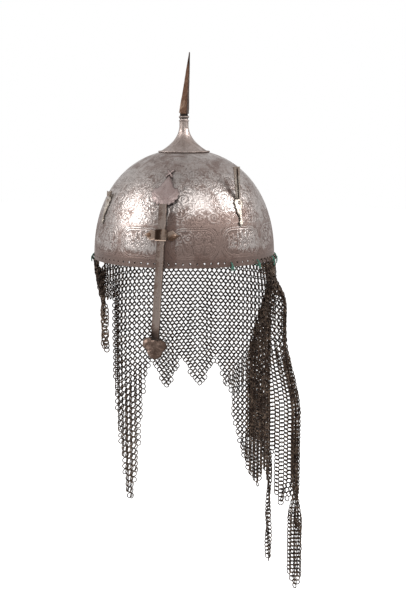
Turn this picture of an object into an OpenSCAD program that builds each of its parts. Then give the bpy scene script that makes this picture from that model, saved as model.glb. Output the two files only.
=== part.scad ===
// Kulah khud: a steel skull cap with a tall spike, a sliding nose guard, two plume holders
// and a neck curtain of linked mail rings.
// The origin is the centre of the head opening. +Z is up and the nose guard faces -Y.
// Angles are counted from the nose: positive ones lie on the +X side.

/* [Bowl] */
// Outer radius of the bowl at its rim
bowl_r = 105; // [98:1:112]
// Height of the bowl from the rim to the crown
bowl_h = 124; // [115:1:135]
// Fullness of the bowl's curve, 2 is an ellipse
bowl_full = 2.2; // [2.0:0.05:2.4]
// Thickness of the bowl's plate
bowl_wall = 1.5; // [1.2:0.1:2.0]

/* [Rim holes and rings] */
// Number of small holes round the rim
hole_count = 84; // [72:2:96]
// Radius of a rim hole
hole_r = 1.1; // [0.9:0.05:1.3]
// Height of the holes above the rim's edge
hole_z = 4.5; // [4.0:0.1:5.5]
// Thickness of a ring's wire
wire_d = 1.2; // [1.0:0.05:1.3]
// Inner radius of a hanging ring
ring_inner_r = 2.6; // [2.4:0.05:2.9]
// Thickness of the thread in the ties
thread_d = 1.0; // [0.7:0.1:1.2]
// Play of a ring or a tie in its rim hole
hang_play = 0.3; // [0.2:0.05:0.4]
// Radius of a thread tie's loop
thread_r = 2.9; // [2.6:0.1:3.2]

/* [Spike base] */
// Radius of the flared base where it sits on the bowl
base_r = 29; // [26:0.5:32]
// Height of the flare from its border to the neck
flare_h = 32; // [28:1:36]
// Radius of the neck
neck_r = 5.2; // [4.9:0.1:6.0]
// Top of the neck above the flare
neck_h = 5.5; // [4:0.5:8]
// Thickness of the flared plate
base_wall = 1.7; // [1.4:0.1:2.2]
// Thickness of the roped bead round the border
bead_d = 2.4; // [2:0.1:3]

/* [Spike] */
// Length of the four-sided spike above its collar
spike_len = 71; // [60:1:80]
// Width of one face of the spike at its foot
spike_w = 8.6; // [7.5:0.1:9.5]
// Width of one face of the spike at its tip
spike_tip_w = 0.9; // [0.6:0.1:1.5]
// Lean of the spike, as the old one is bent
spike_lean = 5.5; // [0:0.5:7]
// Direction in which the spike leans
spike_lean_to = 105; // [90:5:120]
// Turn of the spike's faces
spike_turn = -5; // [-20:1:20]
// Radius of the tang that holds the spike
tang_r = 3; // [2.6:0.1:3.2]
// Radius of the collar's bead
collar_r = 5.8; // [5.4:0.1:6.4]
// Height of the collar
collar_h = 5.2; // [4.4:0.1:6]
// Radius of the rove, the washer inside the bowl
rove_r = 9; // [7:0.5:11]
// Thickness of the rove
rove_t = 1.8; // [1.4:0.1:2.4]

/* [Nose guard] */
// Height of the bracket's middle above the rim
bracket_z = 35; // [30:1:40]
// Lean of the guard in its own plane
guard_lean = 1; // [0:0.5:2]
// Width of the guard's bar
bar_w = 8.8; // [8:0.1:10]
// Thickness of the guard's bar
bar_t = 3.0; // [2.6:0.1:3.4]
// Bevel along the bar's front edges
bar_bevel = 1.1; // [0.8:0.1:1.4]
// Length of the bar from the bracket's middle down to the trefoil's middle
bar_down = 118.5; // [105:0.5:125]
// Radius of each lobe of the trefoil
lobe_r = 6.9; // [6:0.1:7.5]
// Thickness of the trefoil at its middle
trefoil_t = 3.2; // [2.8:0.1:3.6]
// Height above the rim at which the bar turns into the palmette
palmette_z = 66; // [62:1:68]
// Width of the palmette
palmette_w = 30; // [26:0.5:33]
// Thickness of the palmette
palmette_t = 1.8; // [1.4:0.1:2.2]
// Play between the guard and what it slides past
slide_play = 0.5; // [0.4:0.05:0.7]

/* [Bracket] */
// Whole width of the bracket
bracket_w = 39; // [36:0.5:42]
// Height of the bracket's strap
strap_h = 12.4; // [11:0.1:14]
// Thickness of the strap and its wings
strap_t = 1.6; // [1.3:0.1:2]
// Radius of a rivet's shank
rivet_r = 1.2; // [1:0.1:1.4]
// Radius of a rivet's head
rivet_head_r = 2.3; // [2:0.1:2.6]
// Distance of the bracket's rivets from its middle
rivet_x = 13.6; // [13:0.1:14.5]

/* [Plume holders] */
// Angle of the right plume holder from the nose
plume_right = 54; // [50:1:60]
// Angle of the left plume holder from the nose
plume_left = -54; // [-60:1:-50]
// Height of a plume plate's rivet above the rim
plume_z = 67; // [62:1:72]
// Radius of the plate's round disc
disc_r = 6.4; // [5.6:0.1:7]
// Turn of each leaf about its rivet, towards the nose
leaf_turn = 11; // [0:1:15]
// Length of the plate's leaf below its rivet
leaf_len = 27; // [24:0.5:30]
// Thickness of a plume plate
leaf_t = 1.4; // [1.1:0.1:1.8]
// Length of the plume tube
tube_len = 34; // [30:1:38]
// Outer radius of the tube at its mouth
tube_top_r = 3.4; // [3.2:0.1:3.8]
// Outer radius of the tube at its foot
tube_foot_r = 2.3; // [2.1:0.1:2.6]
// Radius of the tube's bore, which takes the plume
tube_bore_r = 2.4; // [2.2:0.1:2.6]
// Depth of that bore
tube_bore_len = 16; // [12:1:20]
// Width of the open seam down the tube
seam_w = 1.1; // [0.8:0.1:1.3]
// Lean of the tube towards the bowl
tube_lean = 5; // [3:0.5:7]
// Length that is left of the broken left tube
stub_len = 5; // [4:0.5:8]

/* [Mail curtain] */
// Angle from the nose to the curtain's front edges
mail_front = 67; // [62:0.5:68]
// Thickness that the linked rings fill
mail_t = 3; // [2.6:0.1:3.6]
// Drop of the curtain's short left side
left_drop = 56; // [48:1:62]
// Drop of the rolled dag on the left side
left_dag_drop = 114; // [100:1:125]
// Drop of the long dag at the back's left
long_dag_drop = 325; // [305:1:345]
// Drop of the back between its dags
back_drop = 145; // [135:1:155]
// Depth of the back's small dags
back_dag = 36; // [28:1:40]
// Drop of the right side between its dags
right_drop = 262; // [250:1:275]
// Drops of the dags along the right side, from the back to the front
right_dag_drops = [290, 285, 311, 381, 409]; // [265:1:420]
// How far the right side's front fold stands out
fold_out = 24; // [18:1:27]
// How much further that fold stands out near the lower edge
skirt_out = 17; // [10:1:20]
// How far the pleat behind that fold goes in
pleat_in = 31; // [27:1:33]
// How far the right front edge has swung back, in degrees
front_swing = 37; // [30:1:42]
// How far the right front edge curls in
curl_in = 20; // [12:1:24]
// How far the long dag's net has crowded to its left, in degrees
dag_crowd = 4; // [2:0.5:5]
// Sag of the curtain's upper edge under the bare holes
top_sag = 12; // [6:1:14]
// How far the back hangs in under the bowl
back_in = 8; // [4:0.5:12]
// How far the left side hangs in under the bowl
left_in = 9; // [6:0.5:14]
// Height of the small ripples across the back
ripple = 2.5; // [1:0.5:4]

/* [Hidden] */
$fn = 96;

// Clearance between curved pieces that rest on each other
seat = 0.3;
// Clearance of a shank or tang in its hole
fit = 0.15;
// A short length that carries a cut through a face
cut = 1;
// A length that reaches right through any plate or wall
reach = 40;
steel = [0.46, 0.41, 0.38];
rusty = [0.42, 0.30, 0.22];
dark = [0.24, 0.21, 0.20];

// Curve of a round body: radius at height z, and height at radius r
function curve_r(z, r, h) = r * pow(1 - pow(max(z, 0) / h, bowl_full), 1 / bowl_full);
function curve_z(x, r, h) = h * pow(1 - pow(x / r, bowl_full), 1 / bowl_full);
function bowl_at(z) = curve_r(z, bowl_r, bowl_h);
function bowl_top(x) = curve_z(x, bowl_r, bowl_h);
// Lean of the bowl's side at height z
function bowl_lean(z) =
    atan(bowl_r / bowl_h * pow((z / bowl_h) / (bowl_at(z) / bowl_r), bowl_full - 1));

// Half outline of a round body, from its rim to its crown
curve_steps = 26;
function curve(r, h, power = 2 / bowl_full) = [
    for (i = [0:curve_steps])
        let (t = 90 * i / curve_steps)
        [i == curve_steps ? 0 : r * pow(cos(t), power), h * pow(sin(t), power)]
];
function backwards(list) = [for (i = [len(list) - 1:-1:0]) list[i]];

// Puts its children on the bowl's side: X runs round it, Z up it and -Y away from it
module on_bowl(angle, z) {
    rotate([0, 0, angle])
    translate([0, -bowl_at(z), z])
    rotate([-bowl_lean(z), 0, 0])
    children();
}

module guard_place() {
    on_bowl(0, bracket_z) rotate([0, guard_lean, 0]) children();
}

// Radius of the bowl's side across the guard, and the two places of the bracket's rivets on it
hoop_r = bowl_at(bracket_z) / cos(bowl_lean(bracket_z));
module wing_rivet_places() {
    guard_place()
    for (s = [-1, 1])
        translate([0, hoop_r, 0]) rotate([0, 0, s * asin(rivet_x / hoop_r)]) translate([0, -hoop_r, 0])
        children();
}

// Bowl and what pierces it

module rim_hole(k) {
    rotate([0, 0, 360 * k / hole_count])
    translate([0, -bowl_r, hole_z])
    rotate([90, 0, 0])
    cylinder(r = hole_r, h = 4 * bowl_wall, center = true);
}

module rivet_hole() {
    rotate([90, 0, 0]) cylinder(r = rivet_r + fit, h = reach / 2, center = true);
}

module bowl() {
    color(steel)
    difference() {
        rotate_extrude() polygon(concat(
            curve(bowl_r, bowl_h),
            backwards(curve(bowl_r - bowl_wall, bowl_h - bowl_wall))));
        for (k = [0:hole_count - 1]) rim_hole(k);
        translate([0, 0, bowl_h]) cylinder(r = tang_r + fit, h = reach, center = true);
        wing_rivet_places() rivet_hole();
        on_bowl(plume_right, plume_z) rivet_hole();
        on_bowl(plume_left, plume_z) rivet_hole();
    }
}

// Spike, its flared base, collar and rove

base_z = bowl_top(base_r) + seat;
neck_z = base_z + flare_h;
neck_top = neck_z + neck_h;
collar_top = neck_top + collar_h;
flare_steps = 14;
// Power of the flare's curve, and how much further in the inner wall lies on its slope
flare_power = 2;
slope_share = 1.4;
function flare_r(s) = neck_r + (base_r - neck_r) * pow(1 - s, flare_power);
// Width of the skirt that lies on the bowl
flare_seat = 5;

module spike_base() {
    outer = [for (i = [0:flare_steps]) let (s = i / flare_steps) [flare_r(s), base_z + flare_h * s]];
    inner = [
        for (i = [0:flare_steps])
            let (s = i / flare_steps)
            [max(flare_r(s) - slope_share * base_wall, tang_r + fit), base_z + flare_h * s - base_wall]
    ];
    // The skirt follows the bowl, so the base sits on it all round
    skirt = [
        for (i = [0:4])
            let (r = base_r - flare_seat * i / 4)
            [r, bowl_top(r) + seat]
    ];
    wall = [for (p = inner) if (p[1] > bowl_top(p[0]) + seat + base_wall / 2) p];
    color(rusty)
    rotate_extrude() {
        polygon(concat(outer, [[neck_r, neck_top], [tang_r + fit, neck_top]], backwards(wall),
            backwards(skirt)));
        translate([base_r - bead_d / 4, base_z + bead_d / 2]) circle(d = bead_d);
    }
}

module spike_collar() {
    color(rusty)
    translate([0, 0, neck_top])
    rotate_extrude()
    difference() {
        union() {
            square([neck_r - fit, collar_h]);
            translate([collar_r - collar_h / 3, collar_h / 2]) circle(r = collar_h / 3);
        }
        square([2 * (tang_r + fit), reach], center = true);
    }
}

rove_z = bowl_h - bowl_wall - seat;
tang_foot = rove_z - rove_t - fit;
// The tang's hammered end and the spike's round foot
peen_r = tang_r + 1.6;
peen_h = peen_r / 3;
foot_h = 2.4;

module spike_blade() {
    // A square spike that narrows to its tip, on a short round foot
    linear_extrude(height = spike_len - foot_h, scale = spike_tip_w / spike_w)
    square(spike_w, center = true);
}

module spike() {
    color(rusty) {
        translate([0, 0, tang_foot]) cylinder(r = tang_r, h = collar_top + foot_h / 2 - tang_foot);
        translate([0, 0, tang_foot - peen_h]) cylinder(r = peen_r, h = peen_h);
        translate([0, 0, collar_top]) cylinder(r = spike_w / 2, h = foot_h);
        translate([0, 0, collar_top + foot_h / 2])
        rotate([0, 0, spike_lean_to]) rotate([spike_lean, 0, 0]) rotate([0, 0, spike_turn - spike_lean_to])
        spike_blade();
    }
}

module spike_rove() {
    color(dark)
    translate([0, 0, rove_z - rove_t])
    difference() {
        cylinder(r = rove_r, h = rove_t);
        cylinder(r = tang_r + fit, h = reach, center = true);
    }
}

// Nose guard: a bar that slides through the bracket, with a palmette above and a trefoil below

bar_back = slide_play;
bar_front = bar_back + bar_t;
function tangent_r(z) = bowl_at(bracket_z) - (z - bracket_z) * tan(bowl_lean(bracket_z));
// The palmette bends back from the bar's line on to the bowl
palmette_top = palmette_z + 40;
flower_z = palmette_top - 6;
function palmette_back(z) =
    let (s = min(1, max(0, (z - palmette_z) / (flower_z - palmette_z))))
    bowl_at(z) + slide_play + (tangent_r(z) - bowl_at(z)) * pow(1 - s, 2);
// Height up the bar's own line of a height above the rim
function up_bar(z) = (z - bracket_z) / cos(bowl_lean(bracket_z));

module bar_section() {
    polygon([
        [-bar_w / 2, -bar_back], [bar_w / 2, -bar_back],
        [bar_w / 2, -bar_front + bar_bevel], [bar_w / 2 - bar_bevel, -bar_front],
        [-bar_w / 2 + bar_bevel, -bar_front], [-bar_w / 2, -bar_front + bar_bevel]
    ]);
}

// Right edge of the palmette's leaf: share of its half width, and height above its foot
LEAF_EDGE = [[0.4, 4], [0.98, 14], [0.66, 21], [0.34, 26], [0.22, 33], [0.08, 33.5]];
// Round lobes along its lower edge: share of the half width, height, and radius as such a share
LEAF_LOBES = [[0.68, 13.5, 0.32], [0.36, 7, 0.33]];
// The flower of four petals on top: distance of its petals from its middle, and their radius
petal_out = 2.6;
petal_r = 1.7;

module palmette_outline() {
    w = palmette_w / 2;
    for (s = [-1, 1], lobe = LEAF_LOBES)
        translate([s * w * lobe[0], up_bar(palmette_z + lobe[1])]) circle(r = w * lobe[2]);
    translate([0, up_bar(flower_z)]) {
        for (turn = [45:90:315]) rotate(turn) translate([petal_out, 0]) circle(r = petal_r);
        circle(r = petal_r);
    }
    translate([-bar_w / 2, up_bar(palmette_z - 4)]) square([bar_w, 14]);
    polygon([for (s = [1, -1], p = s == 1 ? LEAF_EDGE : backwards(LEAF_EDGE))
        [s * w * p[0], up_bar(palmette_z + p[1])]]);
}

palmette_steps = 16;
// Heights past both ends of the palmette, between which its curved shell is made
shell_low = palmette_z - 6;
shell_high = palmette_top + 2;
module palmette_shell() {
    zs = [for (i = [0:palmette_steps]) shell_low + (shell_high - shell_low) * i / palmette_steps];
    rotate_extrude() polygon(concat(
        [for (z = zs) [palmette_back(z), z]],
        backwards([for (z = zs) [palmette_back(z) + palmette_t, z]])));
}

// Radius of the trefoil's domed front
dome_r = 60;
side_lobe_r = lobe_r * 0.93;
module trefoil() {
    translate([0, -bar_back, -bar_down])
    rotate([90, 0, 0])
    intersection() {
        linear_extrude(height = trefoil_t) {
            for (s = [-1, 1]) translate([s * side_lobe_r, lobe_r / 3]) circle(r = side_lobe_r);
            translate([0, -side_lobe_r]) circle(r = lobe_r);
            translate([-bar_w / 2, 0]) square([bar_w, lobe_r * 1.4]);
        }
        translate([0, 0, trefoil_t - dome_r]) sphere(r = dome_r);
    }
}

module nasal() {
    bar_top = up_bar(palmette_z + 3);
    color(steel) {
        guard_place() {
            translate([0, 0, -bar_down]) linear_extrude(height = bar_down + bar_top) bar_section();
            trefoil();
        }
        intersection() {
            palmette_shell();
            guard_place() rotate([90, 0, 0])
                linear_extrude(height = 2 * reach, center = true) palmette_outline();
        }
    }
}

// Bracket that holds the guard, and its rivets

pass_w = bar_w + 2 * slide_play;
pass_d = bar_front + slide_play;
wing_drop = bracket_w / 2 - pass_w / 2 - strap_t;

module bracket_outline() {
    w = bracket_w / 2;
    h = strap_h / 2;
    inner = pass_w / 2 + strap_t;
    polygon([
        [-inner, -h], [inner, -h], [inner, -h * 0.62], [inner + wing_drop * 0.45, -h * 0.92],
        [w, 0], [inner + wing_drop * 0.45, h * 0.92], [inner, h * 0.62], [inner, h],
        [-inner, h], [-inner, h * 0.62], [-inner - wing_drop * 0.45, h * 0.92],
        [-w, 0], [-inner - wing_drop * 0.45, -h * 0.92], [-inner, -h * 0.62]
    ]);
}

module bracket_plan() {
    // The wings follow the bowl's round side, and the strap stands out over the bar
    difference() {
        union() {
            intersection() {
                translate([0, hoop_r]) difference() {
                    circle(r = hoop_r + seat + strap_t);
                    circle(r = hoop_r + seat);
                }
                translate([-bracket_w / 2, -4 * strap_t]) square([bracket_w, 8 * strap_t]);
            }
            translate([-pass_w / 2 - strap_t, -pass_d - strap_t])
                square([pass_w + 2 * strap_t, pass_d + strap_t - seat - strap_t / 2]);
        }
        translate([-pass_w / 2, -pass_d]) square([pass_w, pass_d + strap_h]);
    }
}

module nasal_bracket() {
    color(rusty)
    difference() {
        guard_place()
        intersection() {
            linear_extrude(height = 2 * strap_h, center = true) bracket_plan();
            rotate([90, 0, 0]) linear_extrude(height = reach, center = true) bracket_outline();
        }
        wing_rivet_places() rivet_hole();
    }
}

// Room between the bowl and a rivet's clenched end, as a hole leans against the bowl's side
clench_gap = 0.7;
clench_h = 0.8;
clench_edge = 0.7;
// Height of a rivet's domed head above its plate, and the radius of its dome
head_h = 1.3;
head_dome_r = 2.7;

// A rivet through a plate of thickness t that lies on the bowl
module rivet(t) {
    top = seat + t + fit;
    inside = bowl_wall + clench_gap;
    rotate([90, 0, 0]) {
        translate([0, 0, -inside]) cylinder(r = rivet_r, h = inside + top + head_h / 3);
        intersection() {
            translate([0, 0, top]) cylinder(r = rivet_head_r, h = head_h);
            translate([0, 0, top + head_h - head_dome_r]) sphere(r = head_dome_r);
        }
        translate([0, 0, -inside - clench_h]) cylinder(r = rivet_r + clench_edge, h = clench_h);
    }
}

module bracket_rivets() {
    color(rusty) wing_rivet_places() rivet(strap_t);
}

// Plume holders: a leaf-shaped plate and a rolled tube, the left one's tube broken off

module leaf_outline() {
    circle(r = disc_r);
    polygon([
        [-disc_r * 0.9, -disc_r * 0.45], [-disc_r * 0.8, -leaf_len * 0.24],
        [-disc_r * 0.5, -leaf_len * 0.34],
        [-disc_r * 0.45, -leaf_len * 0.5], [-disc_r * 0.24, -leaf_len * 0.68],
        [-disc_r * 0.45, -leaf_len * 0.82], [0, -leaf_len], [disc_r * 0.45, -leaf_len * 0.82],
        [disc_r * 0.24, -leaf_len * 0.68], [disc_r * 0.45, -leaf_len * 0.5],
        [disc_r * 0.5, -leaf_len * 0.34], [disc_r * 0.8, -leaf_len * 0.24], [disc_r * 0.9, -disc_r * 0.45]
    ]);
}

leaf_steps = 14;
leaf_low = plume_z - leaf_len - 4;
leaf_high = plume_z + disc_r + 6;
// Height of the tab that joins the disc to the tube
tab_h = 2.5;
module plume_plate(angle) {
    zs = [for (i = [0:leaf_steps]) leaf_low + (leaf_high - leaf_low) * i / leaf_steps];
    difference() {
        intersection() {
            rotate_extrude() polygon(concat(
                [for (z = zs) [bowl_at(z) + seat, z]],
                backwards([for (z = zs) [bowl_at(z) + seat + leaf_t, z]])));
            on_bowl(angle, plume_z) rotate([90, 0, 0])
                linear_extrude(height = reach, center = true) {
                    rotate(-sign(angle) * leaf_turn) leaf_outline();
                    translate([-tube_foot_r, 0]) square([2 * tube_foot_r, disc_r + tab_h]);
                }
        }
        on_bowl(angle, plume_z) rivet_hole();
    }
}

// The tube's foot laps over the disc's edge; its narrow part has a wall and a closed foot
tube_lap = 0.5;
tube_wall = 0.9;
tube_floor = 3;
tube_z = plume_z + disc_r - tube_lap;
module plume_tube(angle, length) {
    rotate([0, 0, angle])
    translate([0, -bowl_at(tube_z) - seat - tube_foot_r, tube_z])
    rotate([-tube_lean, 0, 0])
    difference() {
        cylinder(r1 = tube_foot_r, r2 = tube_foot_r + (tube_top_r - tube_foot_r) * length / tube_len,
            h = length);
        translate([0, 0, tube_len - tube_bore_len]) cylinder(r = tube_bore_r, h = tube_bore_len + cut);
        translate([0, 0, tube_floor]) cylinder(r = tube_foot_r - tube_wall, h = length);
        translate([-seam_w / 2, -2 * tube_top_r, tube_floor - cut])
            cube([seam_w, 2 * tube_top_r, tube_len]);
    }
}

module plume_holder_right() {
    color(steel) {
        plume_plate(plume_right);
        plume_tube(plume_right, tube_len);
    }
}

module plume_holder_left() {
    color(steel) {
        plume_plate(plume_left);
        plume_tube(plume_left, stub_len);
    }
}

module plume_rivets() {
    color(steel)
    for (a = [plume_right, plume_left]) on_bowl(a, plume_z) rivet(leaf_t);
}

// Rings and ties in the rim holes

hang_r = ring_inner_r + wire_d / 2;
ring_z = hole_z - hole_r + hang_play - ring_inner_r;
first_hole = ceil(mail_front * hole_count / 360);
last_hole = hole_count - first_hole;
// Holes tied with thread, and holes on the left that have lost their rings
tied = [10, 15, 20, 23, 67];
bare = [59, 60, 61, 62];

module hang(k, ring_r, d) {
    rotate([0, 0, 360 * k / hole_count])
    translate([0, -bowl_r + bowl_wall / 2, hole_z - hole_r + hang_play + d / 2 - ring_r])
    rotate([0, 90, 0])
    rotate_extrude() translate([ring_r, 0]) circle(d = d);
}

module hanging_rings() {
    color(dark)
    for (k = [first_hole:last_hole])
        if (len(search(k, concat(tied, bare))) == 0) hang(k, hang_r, wire_d);
}

module rim_ties() {
    color([0.16, 0.42, 0.32])
    for (k = tied) hang(k, thread_r, thread_d);
}

// Mail: angles along it are counted from its left front edge round the back to the right one

mail_span = 360 - 2 * mail_front;
mail_top = -(ring_z - hang_r - wire_d / 2) + seat;
function smooth(x) = let (s = min(1, max(0, x))) s * s * (3 - 2 * s);
function bell(x) = abs(x) < 1 ? (1 + cos(180 * x)) / 2 : 0;

// Cut of the lower edge, as angle and drop
left_end = 43;
back_start = 79;
back_end = 131;
dag_turn = 16;
strip_at = 218.5;
HEM = concat(
    [[0, left_drop - 14], [4, left_drop - 6], [7.5, left_drop], [8.6, left_dag_drop],
     [11.4, left_dag_drop], [12.5, left_drop + 3], [24, left_drop - 4], [left_end - 0.2, left_drop + 6]],
    [[left_end, back_drop + 5], [44, 0.5 * long_dag_drop], [46, 0.6 * long_dag_drop],
     [48.5, 0.74 * long_dag_drop], [52, 0.86 * long_dag_drop], [55.5, 0.96 * long_dag_drop],
     [58, long_dag_drop], [60.5, 0.95 * long_dag_drop], [62.8, 0.88 * long_dag_drop],
     [65.5, 0.72 * long_dag_drop], [67.5, 0.6 * long_dag_drop], [69, 0.52 * long_dag_drop],
     [back_start - 0.2, back_drop - 4]],
    [for (i = [0:3]) each [[82 + dag_turn * i, back_drop + back_dag],
        [82 + dag_turn * (i + 0.5), back_drop + (i == 3 ? 26 : 0)]]],
    [[140, right_drop - 45], [150, right_drop - 26], [158, right_drop - 12], [165, right_drop + 10],
     [171, right_dag_drops[0]], [174, right_drop + 6], [180, right_dag_drops[1]], [185, right_drop],
     [199.5, right_drop], [200.2, right_dag_drops[3] - 8], [201.9, right_dag_drops[3]],
     [203.6, right_dag_drops[3] - 8], [204.2, right_drop + 6], [207.5, right_dag_drops[2]],
     [210, right_drop + 18], [212.5, right_dag_drops[2] - 10], [214.3, right_drop + 16],
     [214.8, right_dag_drops[4] - 20], [strip_at, right_dag_drops[4]], [222.3, right_dag_drops[4] - 20],
     [222.9, right_drop + 10], [mail_span, right_drop - 6]]
);
function hem(a) = lookup(a, HEM);

// Drop of the upper edge, which sags under the bare holes
sag_at = 360 - mail_front - 360 * (bare[0] + bare[len(bare) - 1]) / 2 / hole_count;
function top(a) = mail_top + top_sag * bell((a - sag_at) / 9);

// How far the right side stands out below its gathered top, by angle
DRAPE = [[back_end, 0], [138, -3], [158, -18], [170, -18], [182, -pleat_in], [192, -24], [200, -16],
    [211, 4], [219, fold_out - 8], [mail_span, fold_out - 2]];
function drape(a) = (lookup(a - 3, DRAPE) + 2 * lookup(a, DRAPE) + lookup(a + 3, DRAPE)) / 4;

// Place of the mail: radius and angle for a point at angle a and drop d
// Drops by which the folds are open, and from which the skirt and the lowest strip stand out
fold_depth = 75;
skirt_from = 110;
strip_from = 270;
// Angles at which the front starts to swing back, to stand out and to curl in
swing_start = 180;
skirt_start = 193;
curl_start = 216;
// How far the lowest strip turns outwards, in millimetres a degree
strip_flare = 1.8;
function front_share(a) = max(0, a - swing_start) / (mail_span - swing_start);
function low_share(d) = smooth((d - strip_from) / 50);
function mail_r(a, d) =
    bowl_r - bowl_wall / 2
    - back_in * smooth(d / 140) * bell((a - 90) / 60)
    - left_in * smooth(d / 60) * bell((a - 10) / 24)
    + drape(a) * smooth(d / fold_depth)
    + skirt_out * smooth((a - skirt_start) / 20) * smooth((d - skirt_from) / 80)
    - curl_in * smooth((a - curl_start) / 10) * smooth((d - skirt_from) / 60) * (1 - low_share(d))
    + strip_flare * max(-9, a - strip_at) * smooth((a - 206) / 4) * low_share(d)
    + ripple * sin(a * 20) * smooth(d / 80) * bell((a - 105) / 40);
function mail_a(a, d) =
    a - front_swing * pow(front_share(a), 2) * smooth(d / fold_depth)
    - dag_crowd * smooth((a - 40) / 10) * (1 - smooth((a - 52) / 26)) * smooth(d / 120);
function mail_middle(a, d) =
    let (r = mail_r(a, d), turn = -mail_front - mail_a(a, d)) [r * sin(turn), -r * cos(turn)];
function mail_point(a, d, out) =
    let (p = mail_middle(a, d), along = mail_middle(a + 0.5, d) - mail_middle(a - 0.5, d))
    [p.x - out * along.y / norm(along), p.y + out * along.x / norm(along), -d];

// One panel of mail between two angles, as a closed sheet with the hem's points at its lower edge
module mail_panel(a0, a1, step, rows) {
    marks = [for (p = HEM) if (p[0] > a0 + 0.3 && p[0] < a1 - 0.3) p[0]];
    stops = concat([a0], marks, [a1]);
    as = concat([
        for (i = [0:len(stops) - 2])
            let (n = max(1, round((stops[i + 1] - stops[i]) / step)))
            each [for (j = [0:n - 1]) stops[i] + (stops[i + 1] - stops[i]) * j / n]
    ], [a1]);
    n = len(as);
    m = rows + 1;
    points = [
        for (out = [mail_t / 2, -mail_t / 2], a = as, j = [0:rows])
            mail_point(a, top(a) + (hem(a) - top(a)) * j / rows, out)
    ];
    function id(side, i, j) = (side * n + i) * m + j;
    function quad(a, b, c, d) = [[a, b, c], [a, c, d]];
    faces = concat(
        [for (i = [0:n - 2], j = [0:rows - 1])
            each quad(id(0, i, j), id(0, i, j + 1), id(0, i + 1, j + 1), id(0, i + 1, j))],
        [for (i = [0:n - 2], j = [0:rows - 1])
            each quad(id(1, i, j), id(1, i + 1, j), id(1, i + 1, j + 1), id(1, i, j + 1))],
        [for (i = [0:n - 2]) each quad(id(0, i, 0), id(0, i + 1, 0), id(1, i + 1, 0), id(1, i, 0))],
        [for (i = [0:n - 2])
            each quad(id(0, i, rows), id(1, i, rows), id(1, i + 1, rows), id(0, i + 1, rows))],
        [for (j = [0:rows - 1]) each quad(id(0, 0, j), id(1, 0, j), id(1, 0, j + 1), id(0, 0, j + 1))],
        [for (j = [0:rows - 1])
            each quad(id(0, n - 1, j), id(0, n - 1, j + 1), id(1, n - 1, j + 1), id(1, n - 1, j))]
    );
    color(dark) polyhedron(points, faces, convexity = 10);
}

// Gap between neighbouring panels, in degrees
split = 0.2;
right_split = 184;

module mail_left() mail_panel(0, left_end - split, 4, 6);
module mail_back_left() mail_panel(left_end, back_start - split, 3.5, 14);
module mail_back() mail_panel(back_start, back_end - split, 4, 9);
module mail_right_rear() mail_panel(back_end, right_split - split, 3.2, 16);
module mail_right_front() mail_panel(right_split, mail_span, 3, 18);

bowl();
spike_base();
spike_collar();
spike();
spike_rove();
nasal();
nasal_bracket();
bracket_rivets();
plume_holder_right();
plume_holder_left();
plume_rivets();
hanging_rings();
rim_ties();
mail_left();
mail_back_left();
mail_back();
mail_right_rear();
mail_right_front();
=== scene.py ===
"""Looks of the kulah khud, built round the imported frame. +Z is up and the nose guard faces -Y.

Lengths are in millimetres up to the mesh, which is made in metres. Places in the materials, and the
stage, lamps and camera, are in metres too. Angles are in degrees, counted from the nose guard, and positive
ones lie on the +X side.
"""

import math

import bpy
import numpy as np
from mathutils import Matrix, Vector
from mathutils.geometry import delaunay_2d_cdt


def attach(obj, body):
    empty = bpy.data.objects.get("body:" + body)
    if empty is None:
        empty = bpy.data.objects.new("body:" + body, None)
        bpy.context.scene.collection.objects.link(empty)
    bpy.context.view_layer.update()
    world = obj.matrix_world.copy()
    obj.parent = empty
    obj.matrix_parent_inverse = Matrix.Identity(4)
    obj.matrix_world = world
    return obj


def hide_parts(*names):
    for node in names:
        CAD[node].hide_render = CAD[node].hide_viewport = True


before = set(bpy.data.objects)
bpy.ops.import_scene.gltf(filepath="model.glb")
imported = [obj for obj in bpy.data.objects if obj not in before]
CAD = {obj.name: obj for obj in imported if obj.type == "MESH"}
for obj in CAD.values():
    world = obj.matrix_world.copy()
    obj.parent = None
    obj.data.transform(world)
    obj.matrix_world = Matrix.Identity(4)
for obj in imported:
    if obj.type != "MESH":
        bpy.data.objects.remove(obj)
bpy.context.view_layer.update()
MM = 0.001
DARKEST = 1.15

# Driving sizes, the same as those of the solids

BOWL_R = 105.0
BOWL_H = 124.0
BOWL_FULL = 2.2
BOWL_WALL = 1.5
HOLES = 84
HOLE_R = 1.1
HOLE_Z = 4.5
WIRE = 1.2
RING_INNER_R = 2.6
HANG_PLAY = 0.3
TIE_R = 2.9
TIE_D = 1.0
MAIL_FRONT = 67.0

# The mail's drops and folds. The long dag, the dags at the back and the folds depart a little from the
# solids, because they were fitted to the photograph again afterwards

LEFT_DROP = 56.0
LEFT_DAG_DROP = 114.0
LONG_DAG_DROP = 332.0
BACK_DROP = 145.0
BACK_DAG = 36.0
RIGHT_DROP = 262.0
FOLD_OUT = 12.0
SKIRT_OUT = 19.0
PLEAT_IN = 29.0
FRONT_SWING = 27.0
CURL_IN = 7.0
DAG_CROWD = 4.0
TOP_SAG = 17.0
BACK_IN = 8.0
LEFT_IN = 9.0
RIPPLE = 2.5


# Shapes of the frame's surfaces

def smooth(x):
    s = np.clip(x, 0, 1)
    return s * s * (3 - 2 * s)


def bell(x):
    return np.where(np.abs(x) < 1, (1 + np.cos(np.pi * np.clip(x, -1, 1))) / 2, 0)


def bowl_at(z):
    return BOWL_R * (1 - (np.maximum(z, 0) / BOWL_H) ** BOWL_FULL) ** (1 / BOWL_FULL)


def unit(v):
    return v / np.linalg.norm(v, axis=-1, keepdims=True)


def turned(x, y, angle):
    """Two coordinates turned by an angle in radians."""
    return x * np.cos(angle) - y * np.sin(angle), x * np.sin(angle) + y * np.cos(angle)


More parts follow.
